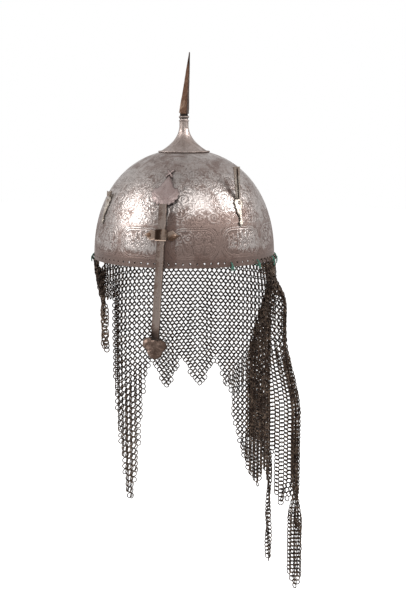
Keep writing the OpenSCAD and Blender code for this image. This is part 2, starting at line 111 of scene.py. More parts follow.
def round_axis(turn, r, z):
    """Points round the bowl's axis, from their angles in radians, radii and heights."""
    return np.stack(np.broadcast_arrays(r * np.sin(turn), -r * np.cos(turn), z), axis=-1)


# Meshes

def ring_faces(rows, columns):
    """Quads of a grid that closes round, row above row."""
    i, j = np.meshgrid(np.arange(rows - 1), np.arange(columns), indexing="ij")
    k = (j + 1) % columns
    return np.stack([i * columns + j, i * columns + k, (i + 1) * columns + k, (i + 1) * columns + j],
                    axis=-1).reshape(-1, 4)


def mesh_piece(name, points, face_sets, material, slot, body="helmet", replaced=(), crease=None, dark=None):
    """A smooth mesh of the points (mm), with each face set an array of equally sized faces.

    Edges sharper than crease degrees stay sharp. dark is a share for all points, or one for each, which the
    materials read.
    """
    mesh = bpy.data.meshes.new(name)
    corners = np.concatenate([faces.ravel() for faces in face_sets]).astype(np.int32)
    sizes = np.concatenate([np.full(len(faces), faces.shape[1]) for faces in face_sets])
    starts = np.concatenate([[0], np.cumsum(sizes)[:-1]]).astype(np.int32)
    mesh.vertices.add(len(points))
    mesh.vertices.foreach_set("co", (np.asarray(points) * MM).astype(np.float32).ravel())
    mesh.loops.add(len(corners))
    mesh.loops.foreach_set("vertex_index", corners)
    mesh.polygons.add(len(sizes))
    mesh.polygons.foreach_set("loop_start", starts)
    mesh.update(calc_edges=True)
    mesh.shade_smooth()
    if crease:
        mesh.set_sharp_from_angle(angle=math.radians(crease))
    mesh.materials.append(material)
    if dark is not None:
        shares = (np.ones(len(points)) * np.ravel(dark)).astype(np.float32)
        mesh.attributes.new("dark", "FLOAT", "POINT").data.foreach_set("value", shares)
    piece = bpy.data.objects.new(name, mesh)
    bpy.context.scene.collection.objects.link(piece)
    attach(piece, body)
    if replaced:
        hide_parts(*replaced)


# Materials

def node(tree, kind, inputs=(), **settings):
    """A shader node, its settings set and its inputs filled with values or linked to sockets."""
    made = tree.nodes.new("ShaderNode" + kind)
    for key, value in settings.items():
        setattr(made, key, value)
    for key, value in dict(inputs).items():
        if isinstance(value, bpy.types.NodeSocket):
            tree.links.new(value, made.inputs[key])
        else:
            made.inputs[key].default_value = value
    return made


def noise(tree, place, scale, detail, rough=0.6, distortion=0.0):
    return node(tree, "TexNoise", {"Vector": place, "Scale": scale, "Detail": detail, "Roughness": rough,
                                   "Distortion": distortion}).outputs[0]


def span(tree, value, low, high, start=0.0, end=1.0):
    """A smooth step of a value from low to high, or from high to low."""
    return node(tree, "MapRange", {"Value": value, "From Min": low, "From Max": high, "To Min": start,
                                   "To Max": end}, interpolation_type="SMOOTHSTEP").outputs[0]


def calc(tree, operation, a, b):
    return node(tree, "Math", {0: a, 1: b}, operation=operation).outputs[0]


def blend(tree, share, a, b):
    """Two colours mixed by a share."""
    a, b = ((*c, 1) if isinstance(c, tuple) else c for c in (a, b))
    return node(tree, "Mix", {0: share, 6: a, 7: b}, data_type="RGBA").outputs[2]


def patches(tree, value, place, places):
    """The value with an amount added round each place (x, y, z, reach and amount, in metres)."""
    for x, y, z, reach, amount in places:
        away = node(tree, "VectorMath", {0: place, 1: (x, y, z)}, operation="DISTANCE").outputs["Value"]
        value = calc(tree, "ADD", value, span(tree, away, 0.2 * reach, reach, amount, 0))
    return value


def new_material(name):
    """A material with its node tree and its shader."""
    material = bpy.data.materials.new(name)
    material.use_nodes = True
    return material, material.node_tree, material.node_tree.nodes["Principled BSDF"]


def old_metal(name, bright, patina, rust_and_shade_colour, wear, rusting, shine, grain=55, pits=0.6, dull=0.55, spread=0.2,
              bump=0.12, rust_and_shade_places=(), toned_places=()):
    """Old steel or iron: worn bright in places, brown between them, rusted and pitted, dark in its grooves.

    A piece's share called dark runs from -1 on its bright ridges to a little over 1 in its grooves; on the
    fittings it also holds painted shade where it is high and painted highlights where it is below 0. The
    places for rusted patches also lay painted shadows on the bowl, and the toned places raise or lower the
    wear share, which on the bowl lays painted shade.
    """
    material, tree, shader = new_material(name)
    place = node(tree, "TexCoord").outputs["Object"]

    def times(a, b):
        return calc(tree, "MULTIPLY", a, b)

    # The dark share: grooves with their patina, and on the fittings painted shade where it is high and
    # painted highlights where it is below 0
    groove = node(tree, "Attribute", attribute_name="dark").outputs["Fac"]
    broad = noise(tree, place, grain, 5, 0.62, 0.6)
    fine = noise(tree, place, grain * 11, 4, 0.7)
    # Wear noise, raised or lowered round the toned places, which on the bowl lay painted shade, and
    # lightened where the dark share is below 0, for worn ridges and for painted highlights
    mottle_and_painted_light = patches(tree, calc(tree, "ADD", broad, times(fine, 0.45)), place, toned_places)
    mottle_and_painted_light = calc(tree, "SUBTRACT", mottle_and_painted_light, times(calc(tree, "MINIMUM", groove, 0.0), 0.5))
    worn_at = 1.04 - 0.55 * wear
    worn = span(tree, mottle_and_painted_light, worn_at - spread / 2, worn_at + spread / 2)

    # The places add rusted patches, which on the bowl also lay painted shadows beside the guard's bar and
    # the right plume tube
    cloud = patches(tree, noise(tree, place, grain * 0.6, 6, 0.7), place, rust_and_shade_places)
    rust_and_shade = span(tree, cloud, 0.86 - 0.4 * rusting, 1.0 - 0.4 * rusting)
    cells = node(tree, "TexVoronoi", {"Vector": place, "Scale": grain * 8.5, "Randomness": 1.0})
    pitted = span(tree, noise(tree, place, grain * 2.2, 3), 0.62 - 0.25 * pits, 0.72 - 0.25 * pits)
    pit = times(span(tree, cells.outputs["Distance"], 0.16, 0.34, 1, 0), pitted)
    # Pits, grooves and painted shade, darkened together to a deep brown
    grime_and_shade = calc(tree, "MAXIMUM", times(pit, 0.8), times(groove, 0.86))

    colour = blend(tree, worn, patina, bright)
    colour = blend(tree, times(rust_and_shade, 0.85), colour, rust_and_shade_colour)
    colour = blend(tree, grime_and_shade, colour, tuple(0.15 * c for c in patina))
    rough = calc(tree, "MAXIMUM", span(tree, worn, 0, 1, dull, shine),
                 times(calc(tree, "MAXIMUM", rust_and_shade, grime_and_shade), 0.72))
    height = node(tree, "Bump", {"Height": calc(tree, "SUBTRACT", fine, pit), "Strength": bump,
                                 "Distance": 0.0006})
    for value, key in ((colour, "Base Color"), (calc(tree, "SUBTRACT", 1.0, times(rust_and_shade, 0.7)), "Metallic"),
                       (rough, "Roughness"), (height.outputs[0], "Normal")):
        tree.links.new(value, shader.inputs[key])
    return material


def rim_places(turns, reach, amount):
    """Places at angles along the bowl's lower edge."""
    return tuple((0.105 * math.sin(a), -0.105 * math.cos(a), 0.0, reach, amount) for a in np.radians(turns))


# The colour of rusted steel, dark enough to serve also for painted shadows on the bowl
RUST_AND_SHADE = (0.078, 0.042, 0.031)
RIM_RUST = rim_places([-95, -60, -25, 28, 62, 98], 0.05, 0.26)
# Painted shade all round the lower edge, lowering the wear share there
RIM_SHADE = rim_places(np.arange(-180, 180, 9), 0.024, -0.4)

# Painted shadows, laid on as rusted patches, on the bowl right of the guard's bar and left of the right
# plume tube
BAR_SHADOW = tuple((0.0095, -0.001 * r, 0.001 * z, 0.011, 0.36)
                 for r, z in ((105, 6), (104.4, 16), (103, 26), (101, 36), (98, 46), (94, 55)))
TUBE_SHADOW = tuple((0.065 * share, -0.0555 * share, z, 0.011, 0.34)
                  for share, z in ((0.99, 0.074), (0.93, 0.083), (0.86, 0.091)))
# Rusted patches on the left, and painted shade as rusted patches on the band right of the guard; then
# painted shade, which lowers the wear share and so dulls the steel, on that band, low on both sides and
# round the right plume leaf, with a little patina at the top
SIDE_RUST_AND_SHADE = ((-0.09, -0.065, 0.05, 0.06, 0.3), (0.048, -0.095, 0.018, 0.06, 0.13))
SIDE_SHADE = ((0.048, -0.095, 0.018, 0.06, -0.45), (-0.1, -0.02, 0.02, 0.06, -0.35),
              (0.105, 0.02, 0.02, 0.06, -0.3), (0.083, -0.062, 0.055, 0.03, -0.22),
              (0.0, -0.04, 0.11, 0.075, -0.02))
STEEL = old_metal("bowl_steel", (0.37, 0.333, 0.316), (0.165, 0.12, 0.105), RUST_AND_SHADE, wear=0.6, rusting=0.2,
                  shine=0.38, dull=0.5, spread=0.4, toned_places=RIM_SHADE + SIDE_SHADE,
                  rust_and_shade_places=RIM_RUST + BAR_SHADOW + TUBE_SHADOW + SIDE_RUST_AND_SHADE)
GUARD_STEEL = old_metal("guard_steel", (0.36, 0.29, 0.255), (0.13, 0.092, 0.076), (0.075, 0.04, 0.022),
                        wear=0.5, rusting=0.4, grain=70, shine=0.34,
                        rust_and_shade_places=((-0.002, -0.127, -0.07, 0.035, 0.2),),
                        toned_places=((-0.002, -0.12, -0.045, 0.03, 0.15),))
BRACKET_STEEL = old_metal("bracket_steel", (0.40, 0.30, 0.24), (0.125, 0.074, 0.05), (0.12, 0.055, 0.03),
                          wear=0.42, rusting=0.35, grain=90, shine=0.3)
HOLDER_STEEL = old_metal("holder_steel", (0.38, 0.335, 0.29), (0.19, 0.15, 0.125), RUST_AND_SHADE, wear=0.6,
                         rusting=0.25, grain=90, shine=0.38)
FINIAL_STEEL = old_metal("finial_steel", (0.38, 0.32, 0.295), (0.21, 0.165, 0.145), (0.15, 0.085, 0.06),
                         wear=0.55, rusting=0.3, grain=60, shine=0.34, spread=0.45)
PALMETTE_STEEL = old_metal("palmette_steel", (0.42, 0.34, 0.325), (0.25, 0.187, 0.176), (0.17, 0.08, 0.06),
                           wear=0.55, rusting=0.35, grain=80, shine=0.42, spread=0.4)
TREFOIL_STEEL = old_metal("trefoil_steel", (0.17, 0.122, 0.10), (0.07, 0.046, 0.036), (0.09, 0.045, 0.03),
                          wear=0.45, rusting=0.45, grain=90, shine=0.42)
SPIKE_IRON = old_metal("spike_iron", (0.25, 0.165, 0.12), (0.11, 0.06, 0.04), (0.15, 0.065, 0.035),
                       wear=0.35, rusting=0.75, grain=90, shine=0.45, bump=0.3)
MAIL_IRON = old_metal("mail_iron", (0.15, 0.108, 0.08), (0.024, 0.016, 0.013), (0.06, 0.034, 0.022),
                      wear=0.42, rusting=0.25, grain=190, pits=0.2, shine=0.3, dull=0.46, spread=0.4,
                      toned_places=((-0.1, -0.01, -0.08, 0.05, 0.2), (0.11, -0.07, -0.24, 0.09, 0.12),
                                    (-0.07, 0.07, -0.26, 0.08, 0.1)))


def make_thread():
    material, tree, shader = new_material("tie_thread")
    place = node(tree, "TexCoord").outputs["Object"]
    colour = blend(tree, noise(tree, place, 700, 4), (0.012, 0.055, 0.04), (0.05, 0.21, 0.145))
    tree.links.new(colour, shader.inputs["Base Color"])
    shader.inputs["Roughness"].default_value = 0.95
    shader.inputs["Sheen Weight"].default_value = 0.3
    return material


THREAD = make_thread()
NODE_LOOKS = {"bowl": STEEL, "nasal": GUARD_STEEL, "nasal_bracket": BRACKET_STEEL,
              "bracket_rivets": BRACKET_STEEL, "plume_holder_right": HOLDER_STEEL,
              "plume_holder_left": HOLDER_STEEL, "plume_rivets": HOLDER_STEEL, "spike_base": FINIAL_STEEL,
              "spike_collar": FINIAL_STEEL, "spike_rove": FINIAL_STEEL, "spike": SPIKE_IRON,
              "rim_ties": THREAD}


# Mail: angles along it run from its left front edge round the back to the right front edge

MAIL_SPAN = 360 - 2 * MAIL_FRONT

# The net: pairs of half columns, the distance between linked rings, their wire, their radius at the wire's
# middle, the gap at their ends in radians, the first row's drop, and how far the rings turn to link
COLUMNS = 66
LINK = 5.3
MAIL_WIRE = 1.45
MAIL_RING_R = RING_INNER_R + WIRE / 2
RING_GAP = 0.05
FIRST_ROW = 4.4
SPIN = math.radians(22)

LEFT_END = 43.0
BACK_START = 79.0
BACK_END = 131.0
RIGHT_SPLIT = 184.0
MAIL_PANELS = (("left", 0, LEFT_END), ("back_left", LEFT_END, BACK_START), ("back", BACK_START, BACK_END),
               ("right_rear", BACK_END, RIGHT_SPLIT), ("right_front", RIGHT_SPLIT, MAIL_SPAN))
STRIP_AT = 218.5


def below(drop, rows):
    return [(angle, drop + more) for angle, more in rows]


# The lower edge: angles along the mail, and drops below the rim. The long dag's drops are shares of its
# whole drop, and the last list is the right side's dags
HEM = sorted(
    below(LEFT_DROP, ((0, -14), (3, -6), (4, 0), (16, 3), (24, -4), (LEFT_END - 0.2, 6)))
    + below(LEFT_DAG_DROP, ((5, -9), (10, 3), (15, -9)))
    + [(angle, share * LONG_DAG_DROP) for angle, share in (
        (44, 0.5), (46.5, 0.58), (49.5, 0.69), (52.5, 0.8), (55.5, 0.93), (58, 1), (60.5, 0.95),
        (62.8, 0.88), (65.5, 0.72), (67.5, 0.6), (69, 0.52))]
    + below(BACK_DROP, ((LEFT_END, 5), (73, -2), (97.5, -2), (122.5, -2), (133.5, 26)))
    + below(BACK_DROP + BACK_DAG, ((85, 4), (110, 4), (130, 0)))
    + below(RIGHT_DROP, ((135.5, -50), (140, -15), (144.5, 6), (149, 28), (161.5, 14), (167, 18),
                         (176, -4), (181, -32), (188, -44), (199.5, -34), (204.2, 30), (209.5, 29),
                         (214.3, 22), (222.9, 10), (MAIL_SPAN, -6)))
    + [(157, 305), (172, 285), (200.2, 373), (201.9, 381), (203.6, 373), (207, 311), (212, 303),
       (214.8, 389), (STRIP_AT, 409), (222.3, 389)])
HEM_ANGLES, HEM_DROPS = (np.array(column, float) for column in zip(*HEM))

# How far the right side stands out below its gathered top, by angle
DRAPE = ((BACK_END, 0), (150, 4), (169, 8), (181, -10), (192, -PLEAT_IN), (196, 4 - PLEAT_IN), (205, -6),
         (214, 9), (219, FOLD_OUT), (MAIL_SPAN, FOLD_OUT))
DRAPE_ANGLES, DRAPE_OUT = (np.array(column, float) for column in zip(*DRAPE))
SWING_START = 168.0
SWING_POWER = 1.5
SKIRT_START = 193.0
CURL_START = 216.0
FOLD_DEPTH = 58.0
PLEAT_DEPTH = 130.0
SHOULDER = 2.5
SKIRT_FROM = 80.0
SKIRT_DEPTH = 110.0
STRIP_FROM = 270.0
STRIP_IN = 2.0
STRIP_FLARE = 1.4

# Bends of the mail: how far out, the drop where each starts and the depth over which it grows, its shape
# along the mail, the angle where that has its middle or its start, and its reach
BENDS = ((-BACK_IN, 0, 140, bell, 90, 60), (-LEFT_IN, 0, 60, bell, 10, 24),
         (SHOULDER, 0, 15, smooth, 185, 18), (SKIRT_OUT, SKIRT_FROM, SKIRT_DEPTH, smooth, SKIRT_START, 20))

# Dags rolled up into ropes: middle and half width in angle, where they start, and how thick they are
ROPES = ((10, 5.3, LEFT_DROP - 4, 2.6), (201.9, 2.3, RIGHT_DROP - 30, 1.4))

# The bare holes, under which the upper edge sags. They are two nearer the front than in the solids
BARE = (61, 62, 63, 64)
SAG_AT = 360 - MAIL_FRONT - 360 * (BARE[0] + BARE[-1]) / 2 / HOLES


def hem(a):
    """The drop of the lower edge, by angle along the mail."""
    return np.interp(a, HEM_ANGLES, HEM_DROPS)


def drape(a):
    """The folds' table, with its corners rounded."""
    near, here, far = (np.interp(a + step, DRAPE_ANGLES, DRAPE_OUT) for step in (-3, 0, 3))
    return (near + 2 * here + far) / 4


def sag(a):
    """How far the top edge hangs down under the bare holes."""
    return TOP_SAG * smooth(1.6 * bell((a - SAG_AT) / 13))


def mail_r(a, d):
    """The mail's distance from the bowl's axis, by angle along it and drop."""
    out, low = drape(a), smooth((d - STRIP_FROM) / 50)
    r = BOWL_R - BOWL_WALL / 2
    for amount, start, depth, shape, place, reach in BENDS:
        r = r + amount * smooth((d - start) / depth) * shape((a - place) / reach)
    r = r + np.maximum(out, 0) * smooth(d / FOLD_DEPTH) + np.minimum(out, 0) * smooth(d / PLEAT_DEPTH)
    r = r - CURL_IN * smooth((a - CURL_START) / 10) * smooth((d - SKIRT_FROM) / 60) * (1 - low)
    r = r + (STRIP_FLARE * np.maximum(-9, a - STRIP_AT) - STRIP_IN) * smooth((a - 206) / 4) * low
    return r + RIPPLE * np.sin(np.radians(a * 20)) * smooth(d / 80) * bell((a - 105) / 40)


def mail_point(a, d):
    """Points of the mail, by angle along it and drop."""
    a, d = np.broadcast_arrays(np.asarray(a, float), np.asarray(d, float))
    r = mail_r(a, d)
    share = np.maximum(0, a - SWING_START) / (MAIL_SPAN - SWING_START)
    swing = FRONT_SWING * share ** SWING_POWER * smooth(d / FOLD_DEPTH)
    crowd = DAG_CROWD * smooth((a - 40) / 10) * (1 - smooth((a - 52) / 26)) * smooth(d / 120)
    turn = np.radians(-MAIL_FRONT - a + swing + crowd)
    return round_axis(turn, r, -d)


def ring_meshes(centres, across, down, wire, turns, major=16, minor=6):
    """Rings bent from wire, each with its two ends butted at an angle of its own, as one mesh."""
    t = np.linspace(RING_GAP, 2 * np.pi - RING_GAP, major + 1)[None, :] + turns[:, None]
    s = np.linspace(0, 2 * np.pi, minor, endpoint=False)
    axis = np.cross(across, down)
    out = np.cos(t)[..., None] * across[:, None] + np.sin(t)[..., None] * down[:, None]
    slip = np.linspace(-0.5, 0.5, major + 1)[None, :, None] * 0.25 * wire
    centre_line = centres[:, None] + out * MAIL_RING_R + axis[:, None] * slip
    round_wire = np.cos(s)[:, None] * out[:, :, None] + np.sin(s)[:, None] * axis[:, None, None]
    points = centre_line[:, :, None] + wire / 2 * round_wire
    base = (np.arange(len(centres)) * (major + 1) * minor)[:, None, None]
    quads = (base + ring_faces(major + 1, minor)[None]).reshape(-1, 4)
    start_cap = base[:, :, 0] + np.arange(minor)[None, ::-1]
    end_cap = base[:, :, 0] + major * minor + np.arange(minor)[None, :]
    return points.reshape(-1, 3), [quads, np.concatenate([start_cap, end_cap])]


def mail_rings():
    """Rows, angles and drops of rings in half columns, each a link below the two that it passes through."""
    half = np.arange(2 * COLUMNS)
    a = (half + 0.5) * MAIL_SPAN / len(half)
    d = FIRST_ROW + sag(a)
    rows = [d]
    while (d < HEM_DROPS.max()).any():
        reach = []
        for side in (-1, 1):
            near = np.clip(half + side, 0, half[-1])
            apart = mail_point(a, d[near] + 4) - mail_point(a[near], d[near])
            gap = np.linalg.norm(apart[:, :2], axis=-1)
            reach.append(d[near] + np.sqrt(np.maximum(LINK ** 2 - gap ** 2, 6)))
        reach[0][0], reach[1][-1] = reach[1][0], reach[0][-1]
        d = np.minimum(*reach)
        rows.append(d)
    d = np.array(rows)
    j, k = np.nonzero((np.add.outer(np.arange(len(d)), half) % 2 == 0) & (d < hem(a) - 1))
    return j, a[k], d[j, k]


def make_mail():
    row, a, d = mail_rings()
    d = d - 1.3 * (a - 57) * bell((a - 57) / 20) * smooth((d - BACK_DROP) / 60)
    random = np.random.default_rng(7)
    centre = mail_point(a, d)
    across = unit(mail_point(a + 1, d) - mail_point(a - 1, d))
    down = unit(mail_point(a, d + 1) - mail_point(a, d - 1))
    out = unit(np.cross(across, down))
    spin = np.where(row % 2 == 0, 1, -1) * SPIN + random.normal(0, 0.08, len(a))
    nod = random.normal(0, 0.1, len(a))
    leaning = unit(np.cos(spin)[:, None] * across + np.sin(spin)[:, None] * out)
    falling = unit(down + np.sin(nod)[:, None] * out)
    for middle, half, low, thick in ROPES:
        share = ((np.abs(a - middle) < half) * smooth((d - low) / 12))[:, None]
        turn = ((a - middle) / half * np.pi + 0.05 * (d - low))[:, None]
        core = mail_point(middle, d)
        centre = centre + share * (core + thick * (np.sin(turn) * across + np.cos(turn) * out) - centre)
        leaning = unit(leaning + share * (1.4 * np.cos(turn) * across - 1.4 * np.sin(turn) * out))
    falling = unit(falling - (falling * leaning).sum(-1, keepdims=True) * leaning)
    turns = random.uniform(0, 2 * np.pi, len(a))
    for name, low, high in MAIL_PANELS:
        mine = (a >= low) & (a < high)
        rings = ring_meshes(centre[mine], leaning[mine], falling[mine], MAIL_WIRE, turns[mine], 14, 5)
        mesh_piece("rings_" + name, *rings, MAIL_IRON, "mail_iron", replaced=["mail_" + name])
    print("rings in the mail", len(a))


# Engraving: figures and lines drawn on flat fields, which the bowl's surface then takes up

FAR = 9.0
STROKE_MARGIN = 2.0
MIDRIB_FROM = 2.2
GROUND_SINK = 0.21
LINE_SINK = 0.22
FILL_PITCH = 3.7


class Field:
    """A flat field, u to the right and v up in millimetres, with the distance to its figures and lines."""

    def __init__(self, width, height, step=0.25):
        self.step, self.left = step, -width / 2
        self.u, self.v = np.meshgrid(np.arange(-width / 2, width / 2 + step, step),
                                     np.arange(0, height + step, step))
        self.figure = np.full(self.u.shape, FAR)
        self.line = np.full(self.u.shape, FAR)

    def stroke(self, layer, points, widths):
        """Draw a path, whose half width tapers from point to point, into a layer of distances."""
        p = np.asarray(points, float)
        w = np.broadcast_to(np.asarray(widths, float), len(p))
        reach = STROKE_MARGIN + w.max()
        low = np.floor((p.min(0) - reach - (self.left, 0)) / self.step).astype(int)
        high = np.ceil((p.max(0) + reach - (self.left, 0)) / self.step).astype(int) + 1
        rows = slice(max(low[1], 0), max(high[1], 0))
        columns = slice(max(low[0], 0), max(high[0], 0))
        u, v = self.u[rows, columns][None], self.v[rows, columns][None]
        if not u.size:
            return
        start, along = p[:-1, :, None, None], np.diff(p, axis=0)[:, :, None, None]
        length = (along ** 2).sum(1) + 1e-9
        t = np.clip(((u - start[:, 0]) * along[:, 0] + (v - start[:, 1]) * along[:, 1]) / length, 0, 1)
        half = w[:-1, None, None] + t * np.diff(w)[:, None, None]
        distance = np.hypot(u - start[:, 0] - t * along[:, 0], v - start[:, 1] - t * along[:, 1]) - half
        layer[rows, columns] = np.minimum(layer[rows, columns], distance.min(0))

    def leaf(self, x, y, turn, length, width, bend=0.0):
        """A pointed leaf with a midrib, which bends by so many degrees along its length."""
        t = np.linspace(0, 1, 9)
        way = np.radians(turn + bend * t)
        step = length / 8 * np.stack([np.cos(way), np.sin(way)], axis=-1)
        points = np.array([x, y]) + np.cumsum(step, axis=0) - step[0]
        self.stroke(self.figure, points, width / 2 * np.sin(np.pi * (0.06 + 0.94 * t)) ** 0.8)
        if width > MIDRIB_FROM:
            self.stroke(self.line, points[1:7], 0.05)

    def flower(self, x, y, radius, petals, turn):
        """Round petals about a dot."""
        for k in range(petals):
            a = np.radians(turn + 360 * k / petals)
            way = np.array([np.cos(a), np.sin(a)])
            points = np.array([x, y]) + np.outer([0.35, 0.7, 0.95], way) * radius
            self.stroke(self.figure, points, np.array([0.12, 0.3, 0.2]) * radius)
        self.stroke(self.line, [(x, y), (x + 0.01, y)], 0.16 * radius)

    def scroll(self, x, y, radius, start, way, turns, flower=True):
        """A stem that winds into a flower, with leaves on its outer side."""
        t = np.linspace(0, 1, 30)
        r = radius * (1 - (0.62 if flower else 0.9) * t)
        a = np.radians(start) + way * 2 * np.pi * turns * t
        points = np.stack([x + r * np.cos(a), y + r * np.sin(a)], axis=-1)
        self.stroke(self.figure, points, 0.36 - 0.12 * t)
        for k, share in ((2, 1.0), (6, 0.95), (10, 0.85), (14, 0.75), (18, 0.6)):
            out = np.degrees(a[k]) + way * 52
            self.leaf(*points[k], out, 0.62 * share * radius, 0.2 * radius, bend=way * 70)
        if flower:
            self.flower(x, y, 0.32 * radius, 6, start)

    def pairs(self, up, scrolls, leaves):
        """Scrolls and leaves on both sides of the middle line, raised by so much."""
        for side in (-1, 1):
            for x, y, radius, start, way, turns in scrolls:
                self.scroll(side * x, up + y, radius, 90 + side * start, side * way, turns)
            for x, y, turn, length, width, bend in leaves:
                self.leaf(side * x, up + y, 90 - side * turn, length, width, side * bend)

    def relief(self, ground):
        """Heights and dark share: the ground sinks where it is 1, the figures stay, the lines are cut."""
        off = smooth(self.figure / 0.5) * ground
        raised = (1 - smooth(self.figure / 0.5)) * ground
        cut = 1 - smooth((self.line - 0.1) / 0.5)
        dark = np.where(cut > 0.1, 0.55 * cut, 0.28 * off - 0.42 * raised)
        return -GROUND_SINK * off - LINE_SINK * cut, dark

    def groove(self, x, y, reach):
        """1 in the lines, falling to 0 over a reach."""
        return 1 - smooth((self.sample(self.line, x, y) - 0.1) / reach)

    def fill(self, room, seed):
        """Small curled leaves wherever there is room between the larger figures."""
        random = np.random.default_rng(seed)
        for row, y in enumerate(np.arange(1.5, self.v.max() - 1, 0.86 * FILL_PITCH)):
            for x in np.arange(self.left + 1 + FILL_PITCH / 2 * (row % 2), -self.left - 1, FILL_PITCH):
                near = np.array([x, y]) + random.normal(0, 0.5, 2)
                turn, bend = random.uniform(0, 360), random.choice((-150, 150))
                if self.sample(self.figure, *near) > 0.7 and self.sample(room, *near) > 0.5:
                    self.leaf(*near, turn, random.uniform(2.8, 4.4), random.uniform(0.9, 1.3), bend=bend)

    def sample(self, values, u, v):
        x = np.clip((u - self.left) / self.step, 0, values.shape[1] - 1.001)
        y = np.clip(v / self.step, 0, values.shape[0] - 1.001)
        i, j = y.astype(int), x.astype(int)
        fy, fx = y - i, x - j
        return ((values[i, j] * (1 - fx) + values[i, j + 1] * fx) * (1 - fy)
                + (values[i + 1, j] * (1 - fx) + values[i + 1, j + 1] * fx) * fy)


CARTOUCHES = 11
CARTOUCHE_PITCH = 360 / CARTOUCHES
CARTOUCHE_START = 2.8
BAND_LOW = 9.0
BAND_HIGH = 45.0
CARTOUCHE_HALF = np.array([26.2, 16.0])
CARTOUCHE_MIDDLE = 17.2
CARTOUCHE_CORNER = 14.0


def upright(field, u, low, high):
    """A slender upright leaf on a stem, with two small leaves at its foot."""
    field.stroke(field.figure, [(u, low), (u, high - 6)], 0.3)
    field.leaf(u, high - 9, 90, 9, 2.0)
    for side in (-1, 1):
        field.leaf(u, low + 3, 90 - side * 60, 4.2, 1.3, bend=side * 50)


# Scrolls (x, height over the middle, radius, start, way, turns) and leaves (x, height, turn, length, width,
# bend) on the right side of the first and the third kind of cartouche
QUARTER_SCROLLS = ((5.6, 6, 5.6, -100, -1, 1.3), (16.4, 6, 5.6, -100, 1, 1.3), (5.6, -6, 5.6, 80, 1, 1.3),
                   (16.4, -6, 5.6, 80, -1, 1.3))
STAR_SCROLLS = ((13.6, 4.5, 6.6, 90, -1, 1.3), (9.5, -8.8, 3.6, -60, 1, 1.1), (18.6, -6.6, 4.4, 40, 1, 1.2))


def cartouche(kind):
    """One cartouche of the lower band: a double border round scrolling leaves."""
    field = Field(math.radians(CARTOUCHE_PITCH) * BOWL_R, BAND_HIGH - BAND_LOW)
    middle = CARTOUCHE_MIDDLE
    inner = (CARTOUCHE_HALF - CARTOUCHE_CORNER)[:, None, None]
    q = np.abs(np.stack([field.u, field.v - middle])) - inner
    edge = np.hypot(*np.maximum(q, 0)) + np.minimum(q.max(0), 0) - CARTOUCHE_CORNER
    if kind == 0:
        field.pairs(middle, QUARTER_SCROLLS, [(21.5, 0, 90, 4, 2, 0)])
        field.leaf(0, middle - 12, 90, 9, 2.4)
        field.leaf(0, middle + 3, 90, 9, 2.4)
    elif kind == 1:
        for i in range(-3, 4):
            upright(field, 6.1 * i, middle - 12 + abs(i), middle + 12 - 1.2 * abs(i))
            if i < 3:
                x, odd = 6.1 * (i + 0.5), i % 2
                field.scroll(x, middle - 6 + 3 * odd, 2.5, 90, -1 if odd else 1, 1.1, False)
                field.flower(x, middle + 5 - 3 * odd, 1.9, 5, 90)
        field.pairs(middle, [], [(20.5, -5, 0, 9, 3, 0)])
    else:
        field.flower(0, middle, 7.5, 8, 22.5)
        field.pairs(middle, STAR_SCROLLS, [(4, 12, 90, 8, 2, 20)])
    for place in (0.3, -2.0):
        field.figure = np.minimum(field.figure, np.abs(edge - place) - 0.35)
    for side, up in ((-1, -1), (-1, 1), (1, -1), (1, 1)):
        y = middle + 15.2 * up
        field.stroke(field.line, [(side * 28.4, middle + 8 * up), (side * 26.4, y - 3 * up),
                                  (side * 22.5, y + up)], 0.08)
        field.leaf(side * 28.6, y - up, 270 - side * 90, 4.5, 1.8, bend=side * 25)
    field.fill(smooth((-2.9 - edge) / 0.5), kind)
    return field, field.relief(smooth((1.6 - edge) / 0.5))


MEDALLIONS = 7
MEDALLION_PITCH = 360 / MEDALLIONS
MEDALLION_START = 54.0
FOLIAGE_HIGH = 103.0
MEAN_R = 88.0
MEDALLION_HALF = 30.0
FOLIAGE_ROOM = 74
# Cusps of a medallion's right side: share of its half width, and height above the foliage's lower edge
CUSPS = ((0, 5), (0.28, 10), (0.66, 13), (0.96, 24), (0.96, 34), (0.7, 44), (0.32, 49), (0, 61))
CUSP_BULGE = 0.26
# The right side's scrolls and leaves, in the medallion and then outside it
FOLIAGE_SCROLLS = ((16.5, 30.5, 7.6, 90, -1, 1.5), (9.5, 18, 4.2, -60, 1, 1.2), (9, 47, 4.2, 60, 1, 1.2),
                   (32, 9, 6.6, 90, 1, 1.4), (31, 50, 6.4, 100, -1, 1.4), (17, 4.6, 3.6, -30, -1, 1.1),
                   (19, 60, 4.6, 60, -1, 1.2))
FOLIAGE_LEAVES = ((1, 22, 50, 12, 3.2, 40), (1, 43, 70, 11, 3, -30), (24, 30, 20, 7, 2, 50),
                  (33.5, 20, 10, 10, 3, 30), (36.5, 34, -20, 11, 3, -30), (10, 66, -60, 8, 2.4, -50),
                  (6, 2, 80, 7, 2, -40))


def arcs(points, bulges, steps=6):
    """A line through the points whose stretches bulge out to its right by their shares of their length."""
    p = np.asarray(points, float)
    t = np.linspace(0, 1, steps + 1)[:-1, None]
    runs = []
    for a, b, bulge in zip(p[:-1], p[1:], bulges):
        along = b - a
        runs.append(a + along * t + np.array([along[1], -along[0]]) * bulge * 4 * t * (1 - t))
    return np.concatenate(runs + [p[-1:]])


def inside(u, v, outline):
    """Whether each point lies inside a closed outline."""
    hit = np.zeros(u.shape, bool)
    for (x0, y0), (x1, y1) in zip(outline[:-1], outline[1:]):
        if y0 != y1:
            hit ^= ((y0 > v) != (y1 > v)) & (u < x0 + (v - y0) / (y1 - y0) * (x1 - x0))
    return hit


